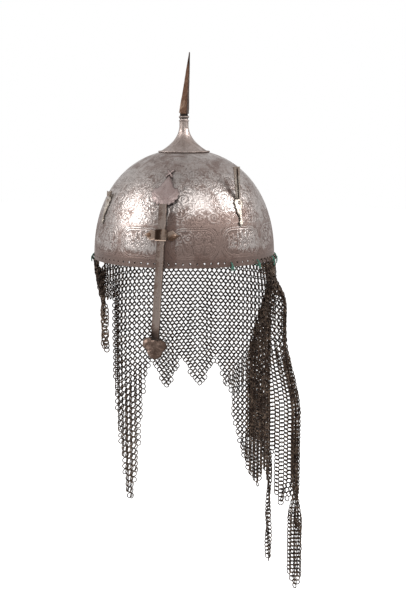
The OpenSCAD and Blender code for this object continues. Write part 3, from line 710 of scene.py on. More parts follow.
def foliage():
    """One stretch of the upper ornament: a lobed medallion with leaves, and scrolls round it."""
    room = (math.radians(MEDALLION_PITCH) * MEAN_R, FOLIAGE_ROOM, 0.3)
    field, border = Field(*room), Field(*room)
    right = [(MEDALLION_HALF * x, y) for x, y in CUSPS]
    corners = right + [(-x, y) for x, y in right[-2:0:-1]] + right[:1]
    outline = arcs(corners, [CUSP_BULGE] * len(corners), 8)
    border.stroke(border.line, outline, 0)
    distance = np.where(inside(field.u, field.v, outline), -border.line, border.line)
    for y, length, width in ((10, 13, 4), (44, 13, 3.6), (63, 8, 2.6)):
        field.leaf(0, y, 90, length, width)
    field.flower(0, 33, 6.4, 8, 22.5)
    field.pairs(0, FOLIAGE_SCROLLS, FOLIAGE_LEAVES)
    for place in (0, -2.0):
        field.figure = np.minimum(field.figure, np.abs(distance - place) - 0.3)
    field.fill(smooth((np.abs(distance + 1) - 1.6) / 0.5), 11)
    heights, dark = field.relief(0.7 + 0.3 * (distance < 0))
    fade = 1 - 0.75 * smooth((field.v - 58) / 14)
    return field, (heights * fade, dark * fade)


# Bowl

# The bowl's side as a curve: radius, height and length from the rim
PROFILE_T = np.linspace(0, np.pi / 2, 4001)
PROFILE_R = BOWL_R * np.cos(PROFILE_T) ** (2 / BOWL_FULL)
PROFILE_Z = BOWL_H * np.sin(PROFILE_T) ** (2 / BOWL_FULL)
PROFILE_S = np.concatenate([[0], np.cumsum(np.hypot(np.diff(PROFILE_R), np.diff(PROFILE_Z)))])
FOLIAGE_SPLIT = 76
CROWN_TOP = 122.5
ZONE_LAP = 1.2
BOWL = dict(material=STEEL, slot="bowl_steel", replaced=["bowl"])


def along_side(z):
    return np.interp(z, PROFILE_Z, PROFILE_S)


def side_at(s):
    """Radius, height, and the outward normal's radial and upward parts, s along the side from the rim."""
    r, z = np.interp(s, PROFILE_S, PROFILE_R), np.interp(s, PROFILE_S, PROFILE_Z)
    dr = np.interp(s + 0.2, PROFILE_S, PROFILE_R) - np.interp(s - 0.2, PROFILE_S, PROFILE_R)
    dz = np.interp(s + 0.2, PROFILE_S, PROFILE_Z) - np.interp(s - 0.2, PROFILE_S, PROFILE_Z)
    length = np.hypot(dr, dz) + 1e-9
    return r, z, dz / length, -dr / length


def side_points(turn, s, out):
    """Points on the bowl's side at an angle (degrees) and a length up its curve, moved out by so much."""
    r, z, across, up = side_at(s)
    r, z = r + across * out, z + up * out
    return round_axis(np.radians(turn), r, z)


def bowl_zone(name, low, high, spacing, relief):
    """One ring of the bowl's outside between two heights, with its edges turned in."""
    s0, s1 = along_side(low), along_side(high)
    columns = int(2 * np.pi * bowl_at(low) / spacing)
    rows = int((s1 - s0) / spacing) + 1
    s = np.concatenate([[s0 - ZONE_LAP], np.linspace(s0, s1, rows), [s1 + ZONE_LAP]])
    turn, s = np.meshgrid(np.arange(columns) * 360 / columns, s)
    out, dark = relief(turn, s)
    out[[0, -1]] -= 0.04
    mesh_piece(name, side_points(turn, s, out).reshape(-1, 3), [ring_faces(rows + 2, columns)], **BOWL,
               dark=np.clip(dark, -1, 1))


def tile(turn, start, pitch):
    """The number of an ornament's copy, and the angle from that copy's middle."""
    k = np.round((turn - start) / pitch)
    return k.astype(int), turn - start - k * pitch


def band_relief(turn, s):
    k, off = tile(turn, CARTOUCHE_START + CARTOUCHE_PITCH / 2, CARTOUCHE_PITCH)
    u, v = np.radians(off) * BOWL_R, s - along_side(BAND_LOW)
    out, dark = np.zeros(turn.shape), np.zeros(turn.shape)
    for kind in range(3):
        field, (heights, shade) = cartouche(kind)
        mine = k % 3 == kind
        out[mine] = field.sample(heights, u[mine], v[mine])
        dark[mine] = field.sample(shade, u[mine], v[mine])
    return out, dark


def foliage_relief():
    field, (heights, shade) = foliage()

    def relief(turn, s):
        off = tile(turn, MEDALLION_START, MEDALLION_PITCH)[1]
        u, v = np.radians(off) * MEAN_R, s - along_side(BAND_HIGH)
        return field.sample(heights, u, v), field.sample(shade, u, v)

    return relief


def crown_relief(turn, s):
    """A worn row of lappets under the spike's base."""
    v = s - along_side(FOLIAGE_HIGH)
    off = tile(turn, 0, 15)[1]
    lappet = np.abs(v - 26 + 9 * (1 - (off / 7.5) ** 2))
    cut = 1 - smooth((lappet - 0.1) / 0.6)
    return -0.1 * cut, 0.4 * cut


def rim_band():
    """The band round the rim, outside and inside, with its holes and its lower edge.

    Each hole has rings of points round it, which open from its circle to the square of its pitch.
    """
    side = 8
    step = np.linspace(-1, 1, side + 1)[:-1]
    one = np.ones(side)
    corners = ((step, -one), (one, step), (-step, one), (-one, -step))
    box = np.concatenate([np.stack(pair, -1) for pair in corners])
    square = box * (math.pi * BOWL_R / HOLES, HOLE_Z)
    circle = unit(square) * HOLE_R
    shares = np.array([0, 0.06, 0.16, 0.35, 0.65, 1.0])
    flat = circle + (square - circle) * shares[:, None, None]
    n = len(box)
    turn = np.arange(HOLES)[:, None, None] * 360 / HOLES + np.degrees(flat[..., 0] / BOWL_R)
    s = np.broadcast_to(np.maximum(flat[..., 1] + HOLE_Z, 0.0), turn.shape)
    worn = np.where(shares < 0.03, -0.15, 0)[:, None]
    outside = side_points(turn, s, worn).reshape(-1, 3)
    through = side_points(turn, s, -BOWL_WALL - worn).reshape(-1, 3)
    count = len(outside)
    start = (np.arange(HOLES) * len(shares) * n)[:, None, None]
    outer = (start + ring_faces(len(shares), n)[None, :, [0, 3, 2, 1]]).reshape(-1, 4)
    inner = outer[:, ::-1] + count
    wall = start[:, 0] + np.arange(n)[None]
    following = start[:, 0] + (np.arange(n)[None] + 1) % n
    walls = np.stack([wall, following, following + count, wall + count], -1).reshape(-1, 4)

    a = np.radians(np.arange(HOLES * side) * 360 / (HOLES * side) + 180 / HOLES)
    t = np.linspace(0, np.pi, 7)[:, None]
    lip = round_axis(a, BOWL_R - BOWL_WALL / 2 + BOWL_WALL / 2 * np.cos(t), 0.02 - 0.25 * np.sin(t))
    lip_faces = ring_faces(7, len(a))[:, ::-1] + 2 * count
    points = np.concatenate([outside, through, lip.reshape(-1, 3)])
    faces = np.concatenate([outer, inner, walls, lip_faces])
    mesh_piece("bowl_rim", *weld(points, faces), **BOWL, dark=0.2)


def weld(points, faces):
    """Join the points that lie within a hundredth of a millimetre."""
    _, first, index = np.unique(np.round(points / 0.01).astype(np.int64), axis=0, return_index=True,
                                return_inverse=True)
    return points[first], [index.ravel()[faces]]


def bowl_inside():
    """The plain inside with its hammer marks."""
    s = np.linspace(along_side(2 * HOLE_Z), along_side(BOWL_H - 0.02), 90)
    turn, s = np.meshgrid(np.arange(240) * 1.5, s)
    marks = 0.12 * np.sin(np.radians(turn * 14) + np.sin(s / 3)) * np.sin(s / 2.3)
    mesh_piece("bowl_inside", side_points(turn, s, -BOWL_WALL + marks).reshape(-1, 3),
               [ring_faces(90, 240)[:, ::-1]], **BOWL, dark=0.25)


def make_bowl():
    rim_band()
    bowl_inside()
    foliage_at = foliage_relief()
    for name, low, high, spacing, relief in (
            ("bowl_band", BAND_LOW, BAND_HIGH, 0.52, band_relief),
            ("bowl_foliage_low", BAND_HIGH, FOLIAGE_SPLIT, 0.58, foliage_at),
            ("bowl_foliage_high", FOLIAGE_SPLIT, FOLIAGE_HIGH, 0.58, foliage_at),
            ("bowl_crown", FOLIAGE_HIGH, CROWN_TOP, 0.75, crown_relief)):
        bowl_zone(name, low, high, spacing, relief)


# Shapes for the fittings

# Painted shade along the edges of the plates: their dark share at the outline
EDGE_SHADE = 0.75


def mirrored(right):
    """A closed outline from its right side, listed from the foot up to the top."""
    left = right[::-1] * (-1, 1)
    return np.concatenate([right, left[1:] if abs(right[-1, 0]) < 1e-6 else left])


def star_outline(discs, count):
    """The outline of overlapping discs (x, y, radius), seen from the origin."""
    turn = np.arange(count) * 2 * np.pi / count
    way = np.stack([np.cos(turn), np.sin(turn)], axis=-1)
    reach = []
    for x, y, r in discs:
        near = way @ np.array([x, y])
        inner = near ** 2 - x * x - y * y + r * r
        reach.append(np.where(inner > 0, near + np.sqrt(np.maximum(inner, 0)), 0))
    return way * np.max(reach, axis=0)[:, None]


def depth_inside(points, outline):
    """Distance from the outline, positive inside it."""
    a, b = outline, np.roll(outline, -1, axis=0)
    along = b - a
    t = np.clip(((points[:, None] - a) * along).sum(-1) / ((along ** 2).sum(-1) + 1e-12), 0, 1)
    distance = np.linalg.norm(points[:, None] - a - t[..., None] * along, axis=-1).min(1)
    closed = np.concatenate([outline, outline[:1]])
    return np.where(inside(points[:, 0], points[:, 1], closed), distance, -distance)


def painted_edge_shade(points, outline, reach, middle=-0.1):
    """The dark share of a plate's points: painted shade, highest along its outline, falling to a middle
    share, which paints the middle lighter where it is below 0.
    """
    depth = depth_inside(points[:, :2], outline)
    return middle + (EDGE_SHADE - middle) * (1 - smooth(depth / reach))


def plate(outline, height, spacing=0.6, insets=(0.12, 0.35, 0.7)):
    """Points (x, y, out) and triangles of a plate with a flat back.

    height takes x, y and the distance from the outline. insets are where rings of points lie inside it.
    """
    along = unit(np.roll(outline, -1, axis=0) - np.roll(outline, 1, axis=0))
    inward = np.stack([-along[:, 1], along[:, 0]], axis=-1)
    low, high = outline.min(0), outline.max(0)
    x, y = np.meshgrid(np.arange(low[0], high[0], spacing), np.arange(low[1], high[1], 0.87 * spacing))
    x = x + spacing / 2 * (np.arange(len(x)) % 2)[:, None]
    grid = np.stack([x.ravel(), y.ravel()], axis=-1)
    grid = grid[depth_inside(grid, outline) > insets[-1] + 0.5 * spacing]
    rings = [outline + inward * inset for inset in insets]
    rings = [ring[depth_inside(ring, outline) > 0.85 * inset] for ring, inset in zip(rings, insets)]
    flat = np.concatenate([outline] + rings + [grid])
    n = len(outline)
    edges = [(i, (i + 1) % n) for i in range(n)]
    found = delaunay_2d_cdt([Vector(p) for p in flat], edges, [], 1, 1e-5)
    flat = np.array([tuple(p) for p in found[0]])
    faces = np.array([tuple(f) for f in found[2]])
    corner = flat[faces]
    area = np.cross(corner[:, 1] - corner[:, 0], corner[:, 2] - corner[:, 0])
    faces = np.where(area[:, None] < 0, faces[:, ::-1], faces)
    depth = np.maximum(depth_inside(flat, outline), 0)
    front = np.column_stack([flat, height(flat[:, 0], flat[:, 1], depth)])
    back = np.column_stack([flat, np.zeros(len(flat))])
    sides = boundary_edges(faces)
    walls = np.column_stack([sides[:, 1], sides[:, 0], sides[:, 0] + len(flat), sides[:, 1] + len(flat)])
    return np.concatenate([front, back]), [np.concatenate([faces, faces[:, ::-1] + len(flat)]), walls]


def boundary_edges(faces):
    """Edges that one triangle alone uses, in its direction."""
    edges = np.concatenate([faces[:, [0, 1]], faces[:, [1, 2]], faces[:, [2, 0]]])
    seen = {tuple(edge) for edge in edges}
    return np.array([edge for edge in sorted(seen) if edge[::-1] not in seen])


def rounded(depth, radius):
    """Rise from 0 at an edge to 1 once it is a radius away, as a quarter circle."""
    t = np.clip(depth / radius, 0, 1)
    return np.sqrt(1 - (1 - t) ** 2)


def revolve(name, profile, count, ripple, crease=40, **look):
    """A round body from its profile of radii and heights. ripple adds to the radius by angle and height."""
    r, z = np.asarray(profile, float).T[:, :, None]
    turn = np.arange(count) * 2 * np.pi / count
    turn, z = np.broadcast_arrays(turn, z)
    points = round_axis(turn, r + ripple(turn, z), z).reshape(-1, 3)
    mesh_piece(name, points, [ring_faces(len(profile), count)], crease=crease, **look)


def loft(sections, closed_ends=True):
    """Points and faces of a body through the sections, each the same number of points round it."""
    sections = np.asarray(sections, float)
    rows, count = sections.shape[:2]
    faces = [ring_faces(rows, count)]
    if closed_ends:
        faces.append(np.stack([np.arange(count)[::-1], np.arange(count) + (rows - 1) * count]))
    return sections.reshape(-1, 3), faces


def sweep(path, radius, sides):
    """A round strand along a path."""
    path = np.asarray(path, float)
    along = unit(np.gradient(path, axis=0))
    side = unit(np.cross(along[0], (0.31, 0.17, 0.93)))
    rows = []
    for p, t in zip(path, along):
        side = unit(side - (side @ t) * t)
        s = np.linspace(0, 2 * np.pi, sides, endpoint=False)[:, None]
        rows.append(p + radius * (np.cos(s) * side + np.sin(s) * np.cross(t, side)))
    return loft(rows)


def joined(parts):
    """Several bodies' points and faces as one body."""
    points, sets, start = [], {}, 0
    for p, faces in parts:
        for f in faces:
            sets.setdefault(f.shape[1], []).append(f + start)
        points.append(p)
        start += len(p)
    return np.concatenate(points), [np.concatenate(f) for f in sets.values()]


def lean_of(z):
    """How far the bowl's side leans in from upright at a height."""
    return np.arctan(BOWL_R / BOWL_H * ((z / BOWL_H) / (bowl_at(z) / BOWL_R)) ** (BOWL_FULL - 1))


def on_bowl(points, angle, z):
    """Points in a frame on the bowl's side, x round it, y up it and the third away from it."""
    x, y, out = np.asarray(points, float).T
    lean, a = lean_of(z), math.radians(angle)
    along = -out * math.cos(lean) + y * math.sin(lean) - bowl_at(z)
    height = out * math.sin(lean) + y * math.cos(lean) + z
    return np.column_stack([*turned(x, along, a), height])


# Nose guard

BRACKET_Z = 35.0
GUARD_LEAN = math.radians(1)
BAR_W = 8.8
BAR_T = 3.0
BAR_BEVEL = 1.1
BAR_DOWN = 118.5
LOBE_R = 6.9
TREFOIL_T = 3.2
PALMETTE_Z = 66.0
PALMETTE_T = 1.8
SLIDE_PLAY = 0.5
FLOWER_Z = PALMETTE_Z + 34
GUARD = dict(slot="guard_steel", body="nose_guard", replaced=["nasal"])
TREFOIL_DISCS = ((6.1, 0.2, LOBE_R), (-6.8, 2.2, LOBE_R), (0.4, -5.6, 1.26 * LOBE_R), (0, 6, 4.9))
FLOWER_LIFT = 1.1
PETAL_LEN = 6.4
BRACKET_LEAN = float(lean_of(BRACKET_Z))


def guard_place(x, y, out):
    """A point of the guard's own plane, out from its back, y up from the bracket's middle."""
    return on_bowl(np.column_stack([*turned(x, y, -GUARD_LEAN), out]), 0, BRACKET_Z)


def palmette_place(x, y, out):
    """The same, but bent back on to the bowl above the palmette's foot."""
    across, up = turned(x, y, -GUARD_LEAN)
    z = BRACKET_Z + up * math.cos(BRACKET_LEAN)
    tangent = bowl_at(BRACKET_Z) - (z - BRACKET_Z) * math.tan(BRACKET_LEAN)
    share = np.clip((z - PALMETTE_Z) / (FLOWER_Z - PALMETTE_Z), 0, 1)
    r = bowl_at(z) + SLIDE_PLAY + (tangent - bowl_at(z)) * (1 - share) ** 2 + out
    return np.column_stack([across, -np.sqrt(r ** 2 - across ** 2), z])


def up_bar(z):
    """The length up the bar at a height."""
    return (z - BRACKET_Z) / math.cos(BRACKET_LEAN)


def make_bar():
    """The bevelled bar, a little uneven from the hammer."""
    random = np.random.default_rng(3)
    y = np.linspace(-BAR_DOWN + 6, up_bar(PALMETTE_Z + 2), 60)
    wander = np.cumsum(random.normal(0, 0.03, len(y)))
    wander -= np.linspace(wander[0], wander[-1], len(y))
    w = BAR_W / 2 + 0.12 * np.sin(y / 9) + random.normal(0, 0.03, len(y))
    bevel = BAR_BEVEL * (1 + 0.25 * np.sin(y / 6.3 + 1)) + random.normal(0, 0.04, len(y))
    back, front = SLIDE_PLAY, SLIDE_PLAY + BAR_T
    sections = []
    for yi, wi, bi, off in zip(y, w, bevel, wander):
        x = off + np.array([wi, wi, wi - bi, 0, -wi + bi, -wi, -wi])
        out = np.array([back, front - bi, front, front + 0.1, front, front - bi, back])
        sections.append(guard_place(x, np.full(7, yi), out))
    # Darker towards the foot; across the bar, painted shade on both sides and a painted highlight on the
    # ridge right of its middle
    foot = 1.4 - 1.4 * smooth(np.linspace(0, 1, len(y)) / 0.13)
    dark = np.minimum(np.add.outer(foot, [0.9, 0.85, -0.4, -0.15, 0.25, 0.6, 0.8]), DARKEST)
    mesh_piece("guard_bar", *loft(sections), GUARD_STEEL, crease=30, dark=dark, **GUARD)


# From the foot up the right side to the tip
PALMETTE_SIDE = arcs([(4.4, -4), (4.4, 2), (8.4, 3.4), (11.9, 6.6), (14.2, 11.2), (14.0, 16.4),
                      (10.2, 18.9), (6.0, 24), (3.2, 28.5), (1.2, 31.6), (0, 32)],
                     [0, 0.3, 0.32, 0.32, 0.34, 0.3, -0.1, -0.06, -0.05, 0.1])


def palmette():
    """The fan of veins over the bar's upper end."""
    veins = Field(34, 42)
    foot = (0, 8)
    for x, y in ((0, 36), (5, 8), (9, 10.4), (12.2, 14.6), (12.6, 20)):
        for side in ((-1, 1) if x else (1,)):
            veins.stroke(veins.line, [foot, (side * x * 0.5, 8 + (y - 8) * 0.6), (side * x, y)], 0.05)
    veins.stroke(veins.line, arcs([(-8, 12), (0, 24), (8, 12)], [0.3, 0.3]), 0.05)

    def height(x, y, depth):
        relief = 0.45 * smooth(depth / 5) - 0.16 * veins.groove(x, y + 6, 0.7)
        return PALMETTE_T * (0.35 + 0.65 * rounded(depth, 0.8)) + relief

    outline = mirrored(PALMETTE_SIDE)
    points, faces = plate(outline, height)
    x, y, out = points.T
    # Painted shade along the palmette's outline
    return palmette_place(x, up_bar(PALMETTE_Z) + y, out), faces, painted_edge_shade(points, outline, 1.7, 0.1)


def flower():
    """Four slender petals set crosswise, round a small boss."""
    t = np.linspace(0, 1, 9)
    width = 1.15 * np.sin(np.pi * (0.12 + 0.86 * t)) ** 0.8
    side = np.column_stack([width, PETAL_LEN * t])[1:-1]
    petal = mirrored(np.vstack([[0.3, 0], side, [0, PETAL_LEN]]))
    points, faces = plate(petal, lambda x, y, d: 0.9 + 0.9 * rounded(d, 0.6) - 0.5 * bell(x / 0.4), 0.4,
                          (0.1, 0.3))
    x, y, out = points.T
    parts = [(np.column_stack([*turned(x, y, math.radians(turn)), out]), faces)
             for turn in (45, 135, 225, 315)]
    boss = star_outline([(0, 0, 1.5)], 20)
    parts.append(plate(boss, lambda x, y, d: 1.4 + 0.9 * rounded(d, 1.3), 0.4, (0.15,)))
    # Painted shade along the petals' and the boss's edges, and a painted highlight on the boss's middle
    dark = np.concatenate([np.tile(painted_edge_shade(points, petal, 0.9, 0.1), 4),
                           painted_edge_shade(parts[-1][0], boss, 0.7, -0.3)])
    points, faces = joined(parts)
    x, y, out = points.T
    return palmette_place(x, up_bar(FLOWER_Z) + y, out + FLOWER_LIFT), faces, dark


def trefoil():
    """The three lobes at the bar's lower end."""
    outline = star_outline(TREFOIL_DISCS, 120)
    lines = Field(32, 34)
    for x, y in ((7.6, -5.5), (-7.6, -5.5), (6.5, 9), (-6.5, 9)):
        lines.stroke(lines.line, [(0.35 * x, 17 + 0.35 * y), (x, 17 + y)], 0.1)

    def height(x, y, depth):
        relief = (TREFOIL_T - 1.5) * smooth(depth / 6) - 0.5 * lines.groove(x, y + 17, 2.4)
        return 0.9 + 0.8 * rounded(depth, 0.8) + relief

    points, faces = plate(outline, height)
    x, y, out = points.T
    # Painted shade along the trefoil's outline
    return guard_place(x, y - BAR_DOWN, out + SLIDE_PLAY), faces, painted_edge_shade(points, outline, 1.4)


def make_guard():
    make_bar()
    for name, shape, steel in (("guard_palmette", palmette, PALMETTE_STEEL),
                               ("guard_flower", flower, PALMETTE_STEEL),
                               ("guard_trefoil", trefoil, TREFOIL_STEEL)):
        points, faces, dark = shape()
        mesh_piece(name, points, faces, steel, crease=50, dark=dark, **GUARD)


# Bracket

BRACKET_W = 39.0
STRAP_H = 12.4
STRAP_T = 1.6
RIVET_X = 13.6
RIVET_HEAD_R = 2.3
# The gap between the bowl and what sits on it
SEAT = 0.3
HEAD_H = 1.2
CLENCH_R = 2.0
CLENCH_H = 0.9
# Painted light and shade along the strap, as its dark share: a painted highlight on the left wing, painted
# shade in the hollow beside the bar and over the loop's left half, a painted highlight on the ridge right
# of the middle, painted shade on the right corner and wing
BRACKET_LIGHT_AND_SHADE = ((-20, -7, -5.9, -4.6, 0, 1.2, 2.2, 3.8, 5, 6.5, 20),
                 (-0.6, -0.5, 0.7, 1.15, 1.05, 0.2, -0.7, -0.5, 0.8, 0.75, 0.5))
HOOP_R = float(bowl_at(BRACKET_Z) / math.cos(BRACKET_LEAN))


def bracket_half():
    """The strap's middle line in plan from the loop's middle to a wing's tip, with its half heights."""
    inner = BAR_W / 2 + SLIDE_PLAY + STRAP_T / 2
    front = SLIDE_PLAY + BAR_T + SLIDE_PLAY + STRAP_T / 2
    ring = HOOP_R + SEAT + STRAP_T / 2
    h = STRAP_H / 2

    def round_bowl(x):
        return math.sqrt(ring ** 2 - x ** 2) - HOOP_R

    loop = [(0, front + 0.15, h), (1.2, front + 0.13, h), (2.4, front + 0.08, h), (inner - 1.6, front, h),
            (inner - 0.5, front - 0.12, h), (inner - 0.05, front - 0.6, h), (inner, front - 1.5, h),
            (inner, 1.9, h), (inner, 1.6, 0.75 * h), (inner + 0.5, round_bowl(inner + 0.5), 0.62 * h)]
    wing = []
    for share in (0.1, 0.25, 0.45, 0.7, 0.88, 0.97, 1.0):
        x = inner + share * (BRACKET_W / 2 - inner)
        widening, narrowing = (0.62 + 0.3 * share / 0.45) * h, 0.92 * h * (1 - share) / 0.55
        wing.append((x, round_bowl(x), widening if share < 0.5 else max(0.35, narrowing)))
    return np.array(loop + wing)


def make_strap():
    """The strap bent over the guard, flat on the bowl at both wings."""
    right = bracket_half()
    left = right[:0:-1] * (-1, 1, 1)
    line = np.concatenate([left, right])
    along = unit(np.gradient(line[:, :2], axis=0))
    out_x, out_y = -along[:, 1], along[:, 0]
    sections = []
    for (x, out, h), nx, ny in zip(line, out_x, out_y):
        bevel = min(0.75, h / 2)
        up = np.array([-h, h, h, h - bevel, 2 * bevel - h, bevel - h, -h])
        off = np.array([-1, -1, 0.3, 1, 1, 1, 0.3]) * STRAP_T / 2
        sections.append(guard_place(x + nx * off, up, out + ny * off))
    dark = np.repeat(np.interp(line[:, 0], *BRACKET_LIGHT_AND_SHADE)[:, None], 7, axis=1)
    # Painted highlights on the right wing's upper edge and along the loop's lower lip
    dark[line[:, 0] > 7, 2:4] = -0.8
    dark[np.abs(line[:, 0]) < 6, 5:] = -0.6
    mesh_piece("bracket_strap", *loft(sections), BRACKET_STEEL, "bracket_steel", crease=28,
               replaced=["nasal_bracket"], dark=dark)


def dome(lift, radius, high, seed):
    """A hammered rivet head, which stands on a surface at a lift and rises so high."""
    random = np.random.default_rng(seed)
    count = 20
    turn = np.arange(count) * 2 * np.pi / count
    rows = []
    for t in np.linspace(0, 1, 7):
        r = radius * math.cos(0.5 * math.pi * t) ** 0.8 * (1 + random.normal(0, 0.02, count)) + 0.02
        level = lift + high * math.sin(0.5 * math.pi * t) ** 1.1
        rows.append(np.column_stack([r * np.cos(turn), r * np.sin(turn), np.full(count, level)]))
    rows.insert(0, rows[0] - (0, 0, 0.8))
    return loft(rows)


def rivet_ends(plate_lift, head_seed, clench_seed):
    """A rivet's head on a plate, and its clench inside the bowl, whose faces are turned round."""
    head, faces = dome(plate_lift, RIVET_HEAD_R, HEAD_H, head_seed)
    yield head, faces
    clench, faces = dome(-BOWL_WALL, CLENCH_R, -CLENCH_H, clench_seed)
    yield clench, [f[:, ::-1] for f in faces]


def make_bracket():
    make_strap()
    parts = []
    for side in (-1, 1):
        turn = side * math.asin(RIVET_X / HOOP_R)
        for points, faces in rivet_ends(SEAT + STRAP_T, 5 + side, 9 + side):
            x, y, out = points.T
            across, away = turned(x, out + HOOP_R, -turn)
            parts.append((guard_place(across, y, away - HOOP_R), faces))
    mesh_piece("bracket_heads", *joined(parts), BRACKET_STEEL, "bracket_steel", crease=50,
               replaced=["bracket_rivets"])


# Plume holders

PLUME_Z = 67.0
DISC_R = 6.4
LEAF_TURN = 11
LEAF_LEN = 27.0
LEAF_T = 1.4
TUBE_LEN = 34.0
TUBE_TOP_R = 3.4
TUBE_FOOT_R = 2.3
TUBE_WALL = 0.72
SEAM_W = 1.5
SEAM_TURN = math.radians(-30)
TUBE_LEAN = math.radians(5)
STUB_LEN = 5.0
# Side, angle round the bowl, and the tube's length and whether it is broken off
PLUMES = (("right", 54, TUBE_LEN, False), ("left", -54, STUB_LEN, True))
LEAF_SIDE = arcs([(0, -LEAF_LEN), (3.1, -22), (1.5, -18), (2.9, -12.5), (3.4, -8.8), (5.6, -5.6)],
                 [0.08, -0.12, -0.06, 0.12, -0.1])


def plume_leaf(angle):
    """The plate: a disc over a leaf with an arrow's head, bent to the bowl."""
    way = 1 if angle > 0 else -1
    t = np.radians(np.linspace(-38, 68, 12))
    disc = np.column_stack([DISC_R * np.cos(t), DISC_R * np.sin(t)])
    tab = [(TUBE_FOOT_R, DISC_R + 0.4), (TUBE_FOOT_R, DISC_R + 2.5)]
    outline = mirrored(np.concatenate([LEAF_SIDE, disc, tab]))[:-1]
    rib = Field(20, 44)
    rib.stroke(rib.line, [(0, 30 - LEAF_LEN + 4), (0, 30 - 8)], 0.1)

    def height(x, y, depth):
        relief = 0.25 * smooth(depth / 2.5) - 0.35 * rib.groove(x, y + 30, 0.8)
        return LEAF_T * (0.3 + 0.7 * rounded(depth, 0.7)) + relief

    points, faces = plate(outline, height, 0.5)
    # Painted shade along the leaf's outline and a painted highlight over its middle
    dark = painted_edge_shade(points, outline, 0.9, -0.25)
    x, y, out = points.T
    x, y = turned(x, y, -math.radians(LEAF_TURN) * way * smooth((2 - y) / 8))
    sway = 0.9 * np.sin(np.clip(-y, 0, LEAF_LEN) / LEAF_LEN * 2 * np.pi) * way
    s = along_side(PLUME_Z) + y
    turn = angle + np.degrees((x - sway) / side_at(s)[0])
    return side_points(turn, s, SEAT + out), faces, dark


def plume_tube(angle, length, broken):
    """The rolled tube with its open seam and rounded lips."""
    random = np.random.default_rng(12)
    rows = []
    count = 26
    for t in np.linspace(0, 1, 24):
        r = TUBE_FOOT_R + (TUBE_TOP_R - TUBE_FOOT_R) * t * length / TUBE_LEN + 0.35
        r = r + 0.25 * smooth((t - 0.93) / 0.07)
        half = math.asin(min(0.9, (SEAM_W / 2 + 0.25 * t) / r))
        turn = np.linspace(half, 2 * np.pi - half, count)
        way = np.column_stack([np.sin(turn + SEAM_TURN), np.cos(turn + SEAM_TURN)])
        ring = np.concatenate([r * way, (r - TUBE_WALL) * way[::-1]])
        ring = ring + random.normal(0, 0.015, (2 * count, 2))
        high = np.full(2 * count, t * length)
        if broken and t > 0.5:
            both = np.concatenate([turn, turn[::-1]])
            high = high + (t - 0.5) * 2 * (0.8 * np.sin(3 * both) + 0.6 * np.sin(7 * both + 1))
        rows.append(np.column_stack([ring[:, 0], high, ring[:, 1]]))
    points, faces = loft(rows, closed_ends=False)
    top = (len(rows) - 1) * 2 * count
    i = np.arange(count - 1)
    lip = np.column_stack([top + i, top + i + 1, top + 2 * count - 2 - i, top + 2 * count - 1 - i])
    x, y, out = points.T
    z = PLUME_Z + DISC_R - 0.5
    away = bowl_at(z) + SEAT + TUBE_FOOT_R + out * math.cos(TUBE_LEAN) - y * math.sin(TUBE_LEAN)
    up = z + y * math.cos(TUBE_LEAN) + out * math.sin(TUBE_LEAN)
    return np.column_stack([*turned(x, -away, math.radians(angle)), up]), [np.concatenate([faces[0], lip])]


def make_plume_holders():
    heads = []
    for i, (side, angle, length, broken) in enumerate(PLUMES):
        holder = dict(material=HOLDER_STEEL, slot="holder_steel", replaced=["plume_holder_" + side])
        points, faces, dark = plume_leaf(angle)
        mesh_piece("plume_leaf_" + side, points, faces, crease=50, dark=dark, **holder)
        mesh_piece("plume_tube_" + side, *plume_tube(angle, length, broken), crease=45, **holder)
        for points, faces in rivet_ends(SEAT + LEAF_T + 0.2, 20 + i, 20 + i):
            heads.append((on_bowl(points, angle, PLUME_Z), faces))
    mesh_piece("plume_heads", *joined(heads), HOLDER_STEEL, "holder_steel", crease=50,
               replaced=["plume_rivets"])


# Spike, its base and its collar. The base's flare is slimmer and the shank wider than in the solids

BASE_R = 29.0
FLARE_H = 32.0
FLARE_POWER = 2.35
ROPE_STRANDS = 90
FLUTES = 24
NECK_R = 5.2
NECK_H = 5.5
COLLAR_R = 5.8
COLLAR_H = 5.2
SPIKE_LEN = 71.0
SPIKE_W = 9.2
SPIKE_TIP_W = 0.9
SPIKE_LEAN = math.radians(5.5)
SPIKE_LEAN_TO = math.radians(105)
SPIKE_TURN = math.radians(-5)
FOOT_H = 2.4
TANG_R = 3.0
ROVE_T = 1.8
FINIAL = dict(material=FINIAL_STEEL, slot="finial_steel")
SPIKE = dict(material=SPIKE_IRON, slot="spike_iron", replaced=["spike"])


def bowl_top(r):
    """The bowl's height at a radius."""
    return BOWL_H * (1 - (r / BOWL_R) ** BOWL_FULL) ** (1 / BOWL_FULL)


BASE_Z = bowl_top(BASE_R) + SEAT
NECK_Z = BASE_Z + FLARE_H
NECK_TOP = NECK_Z + NECK_H
COLLAR_TOP = NECK_TOP + COLLAR_H


def circle_profile(r, z, radius, start, end, count):
    """Part of a circle in a profile, from one angle to another."""
    t = np.radians(np.linspace(start, end, count))
    return [(r + radius * math.cos(a), z + radius * math.sin(a)) for a in t]


